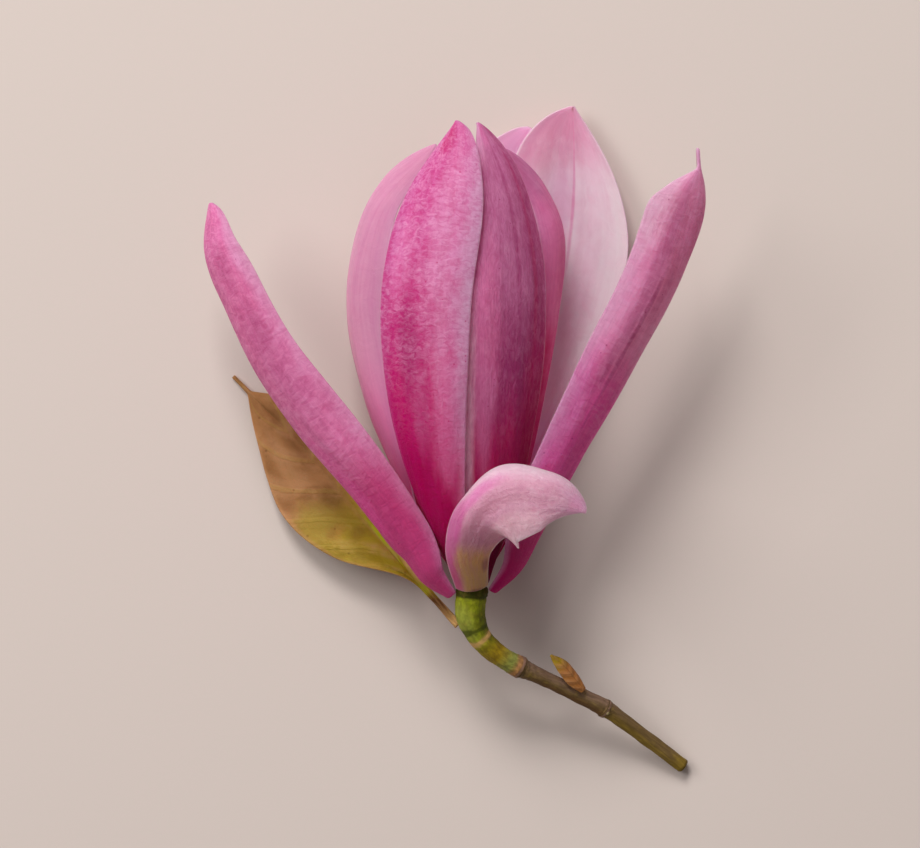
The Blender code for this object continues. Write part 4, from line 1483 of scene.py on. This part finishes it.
@dataclass
class Twig:
    """The receptacle, the green stalk and the woody twig, which grew in one."""

    line: tuple = (
        (0.0, 4.1, 0.0, 1.1), (0.0, 2.6, 0.0, 1.4), (0.0, 1.2, 0.0, 2.4), (0.0, 0.0, 0.0, 3.3),
        (-0.2, -1.6, -0.1, 3.1), (-0.3, -5.0, -0.5, 3.0), (1.2, -8.9, -1.4, 2.45), (4.1, -12.2, -2.8, 2.15),
        (7.5, -14.6, -4.2, 2.1), (9.6, -15.7, -5.0, 2.3), (10.8, -16.3, -5.4, 1.9), (14.4, -18.0, -6.6, 1.6),
        (20.4, -21.0, -8.8, 1.6), (25.8, -23.8, -10.8, 1.75), (27.0, -24.5, -11.3, 2.0),
        (28.4, -25.4, -12.0, 1.65), (35.0, -30.4, -15.2, 1.5), (43.2, -36.8, -18.6, 1.5),
    )
    sides: int = 40
    rows: int = 260
    relief: float = 0.12
    finish: StalkFinish = StalkFinish(
        ground=(
            # The dark moss band near the start is a painted shadow where the tepals overhang the top of the
            # stalk.
            (0.0, Pigment.LEAF_GREEN), (0.2, Pigment.MOSS), (0.222, Pigment.MOSS), (0.24, Pigment.LEAF_GREEN),
            (0.34, Pigment.LEAF_GREEN), (0.42, Pigment.OLIVE), (0.47, Pigment.PALE_GREEN),
            (0.5, Pigment.BRONZE), (0.55, Pigment.BARK), (1.0, Pigment.BARK),
        ),
        flushes=(
            Flush(Pigment.PALE_GREEN, 0.3, 0.31, 0.3, 0.07, 0.5),
            # Painted shade: dark moss on the right flank, away from the light.
            Flush(Pigment.MOSS, 0.85, 0.33, 0.35, 0.1, 0.7),
            Flush(Pigment.HEATHER, 0.8, 0.7, 0.4, 0.24, 0.7),
            Flush(Pigment.OLIVE, 0.15, 0.92, 0.4, 0.16, 0.5),
            Flush(Pigment.UMBER, 0.1, 0.72, 0.35, 0.2, 0.6),
            Flush(Pigment.OLIVE, 0.5, 1.0, 1.6, 0.02, 0.5),
        ),
        rings=(
            (0.335, 0.012, Pigment.MOSS), (0.365, 0.012, Pigment.TAN), (0.525, 0.012, Pigment.SCAR),
            (0.545, 0.008, Pigment.DARK_BARK), (0.8, 0.006, Pigment.DARK_BARK), (0.82, 0.012, Pigment.SCAR),
        ),
    )

    def build(self, effects: Effects) -> None:
        """Build the twig in one closed tube.

        Args:
            effects: The shared shader groups.
        """
        shape = Tube(self.line, self.sides, self.rows, relief=self.relief).shape()
        piece = finish_object("twig_skin", shape, [self.finish.material("twig", effects)])
        hand_over(piece, "twig")


@dataclass
class FlowerCentre:
    """The cone of carpels and the ring of stamens inside the cup.

    The shapes of a carpel and of a stamen are rows of how far out and up they reach, with the radius there.
    """

    cone_line: tuple = ((0.0, 4.5, 0.0, 1.2), (0.0, 6.4, 0.0, 2.1), (0.0, 10.0, 0.0, 2.2),
                        (0.0, 15.0, 0.0, 1.8), (0.0, 20.0, 0.0, 0.7))
    cone_sides: int = 24
    cone_rows: int = 32
    carpels: int = 26
    carpel_sides: int = 12
    carpel_rows: int = 16
    carpel_foot: float = 10.6
    carpel_head: float = 18.6
    carpel_foot_radius: float = 1.9
    carpel_head_radius: float = 0.9
    carpel_shape: tuple = ((-0.9, -0.9, 0.5), (0.1, 0.2, 0.8), (0.4, 1.4, 0.6), (0.8, 2.4, 0.35),
                           (1.5, 2.9, 0.22))
    carpel_skin: FleshFinish = FleshFinish(Pigment.LIME, Pigment.STRAW, start=6.0, finish=20.0)
    stamens: int = 33
    stamen_sides: int = 10
    stamen_rows: int = 14
    stamen_flatness: float = 0.6
    stamen_length: float = 6.8
    stamen_shape: tuple = ((2.9, 0.0, 0.4), (3.5, 2.2, 0.45), (4.4, 4.6, 0.42), (4.8, 6.8, 0.15))
    stamen_skin: FleshFinish = FleshFinish(Pigment.MAGENTA, Pigment.BLUSH, start=7.0, finish=14.0)
    tiers: int = 3
    tier_rise: float = 0.6
    tier_drop: float = 0.4
    tier_lean: float = 0.25
    collar_inner: float = 2.6
    collar_outer: float = 3.1
    collar_foot: float = 6.4
    collar_head: float = 7.8
    collar_steps: int = 66

    def build(self, effects: Effects) -> None:
        """Build the cone and the ring.

        Args:
            effects: The shared shader groups.
        """
        flesh = self.carpel_skin.material("carpels", effects)
        body = Tube(self.cone_line, self.cone_sides, self.cone_rows).shape()
        cone = finish_object("gynoecium_skin", body, [flesh])
        carpels = [finish_object(f"carpel_{i}", self.carpel(i), [flesh]) for i in range(self.carpels)]
        hand_over(fuse(cone, carpels), "gynoecium")
        flesh = self.stamen_skin.material("stamens", effects)
        collar = finish_object("stamens_skin", self.collar(), [flesh])
        stamens = [finish_object(f"stamen_{i}", self.stamen(i), [flesh]) for i in range(self.stamens)]
        hand_over(fuse(collar, stamens), "stamens")

    def carpel(self, i: int) -> bmesh.types.BMesh:
        """Shape one carpel of the spiral on the cone, with a style that curls outwards.

        Args:
            i: Its number, from the foot of the spiral.

        Returns:
            The closed shape, in metres.
        """
        share = (i + 0.5) / self.carpels
        height = self.carpel_foot + (self.carpel_head - self.carpel_foot) * share
        body = self.carpel_foot_radius + (self.carpel_head_radius - self.carpel_foot_radius) * share
        turn = i * GOLDEN_ANGLE
        line = tuple(
            (*ring_place(body + out, height + up, turn), radius) for out, up, radius in self.carpel_shape
        )
        return Tube(line, self.carpel_sides, self.carpel_rows, ring_place(1.0, 0.0, turn + pi / 2.0)).shape()

    def stamen(self, i: int) -> bmesh.types.BMesh:
        """Shape one stamen of the ring: a flat strip, in one of the tiers, rooted in the collar.

        Args:
            i: Its number round the ring.

        Returns:
            The closed shape, in metres.
        """
        tier = i % self.tiers
        turn = 2.0 * pi * i / self.stamens
        foot = self.collar_foot + self.tier_rise - self.tier_drop * tier
        line = tuple(
            (*ring_place(out + self.tier_lean * tier * up / self.stamen_length, foot + up, turn), radius)
            for out, up, radius in self.stamen_shape
        )
        hinge = ring_place(1.0, 0.0, turn + pi / 2.0)
        return Tube(line, self.stamen_sides, self.stamen_rows, hinge, self.stamen_flatness).shape()

    def collar(self) -> bmesh.types.BMesh:
        """Spin the collar's square section round the flower's axis.

        Returns:
            The closed ring, in metres.
        """
        ring = bmesh.new()
        corners = ((self.collar_inner, self.collar_foot), (self.collar_outer, self.collar_foot),
                   (self.collar_outer, self.collar_head), (self.collar_inner, self.collar_head))
        outline = [ring.verts.new((Vector((*corner, 0.0)) + FLOWER_BASE) * MM) for corner in corners]
        edges = [ring.edges.new(pair) for pair in zip(outline, outline[1:] + outline[:1])]
        bmesh.ops.spin(
            ring, geom=outline + edges, cent=FLOWER_BASE * MM, axis=(0.0, 1.0, 0.0), dvec=(0.0, 0.0, 0.0),
            angle=2.0 * pi, steps=self.collar_steps, use_merge=True,
        )
        bmesh.ops.remove_doubles(ring, verts=ring.verts, dist=WELD)
        bmesh.ops.recalc_face_normals(ring, faces=ring.faces)
        return ring


@dataclass
class Studio:
    """The paper, the lights and the camera, in metres and watts."""

    floor_half: float = 2.5
    camera_place: tuple = (0.00116, 0.00305, 0.8)
    lens: float = 152.6
    sensor: float = 36.0
    lamp_colour: tuple = (1.0, 0.97, 0.94)
    key_place: tuple = (-0.3, 1.12, 1.14)
    key_size: float = 0.6
    key_power: float = 18.5
    side_place: tuple = (-1.05, 0.6, 1.2)
    side_size: float = 0.9
    side_power: float = 12.0
    sky: tuple = (0.98, 0.91, 0.9, 1.0)
    sky_strength: float = 0.18

    def build(self, effects: Effects) -> None:
        """Lay the paper, hang the lights and point the camera straight down.

        Args:
            effects: The shared shader groups.
        """
        paper = bmesh.new()
        bmesh.ops.create_grid(paper, x_segments=1, y_segments=1, size=self.floor_half)
        floor = finish_object("paper", paper, [PaperFinish().material("paper", effects)])
        self.hang("key", self.key_place, self.key_size, self.key_power)
        self.hang("side", self.side_place, self.side_size, self.side_power)
        scene = bpy.context.scene
        scene.world = bpy.data.worlds.new("studio")
        scene.world.use_nodes = True
        sky = scene.world.node_tree.nodes["Background"]
        sky.inputs["Color"].default_value = self.sky
        sky.inputs["Strength"].default_value = self.sky_strength
        lens = bpy.data.cameras.new("camera")
        lens.lens = self.lens
        lens.sensor_width = self.sensor
        scene.camera = bpy.data.objects.new("camera", lens)
        scene.camera.location = self.camera_place
        scene.collection.objects.link(scene.camera)
        scene.view_settings.view_transform = "Standard"

    def hang(self, name: str, place: tuple, size: float, power: float) -> None:
        """Hang a square soft light that looks at the flower.

        Args:
            name: The light's name.
            place: Where it hangs.
            size: The length of its side.
            power: Its power.
        """
        lamp = bpy.data.lights.new(name, "AREA")
        lamp.shape = "SQUARE"
        lamp.size = size
        lamp.energy = power
        lamp.color = self.lamp_colour
        holder = bpy.data.objects.new(name, lamp)
        holder.location = place
        holder.rotation_euler = (-Vector(place)).to_track_quat("-Z", "Y").to_euler()
        bpy.context.scene.collection.objects.link(holder)


def main() -> None:
    """Build the branch and the studio round it."""
    logging.basicConfig(level=logging.INFO, format="%(message)s")
    effects = Effects()
    for part in (Corolla(), Foliage(), Twig(), FlowerCentre(), Studio()):
        part.build(effects)


if __name__ == "__main__":
    main()
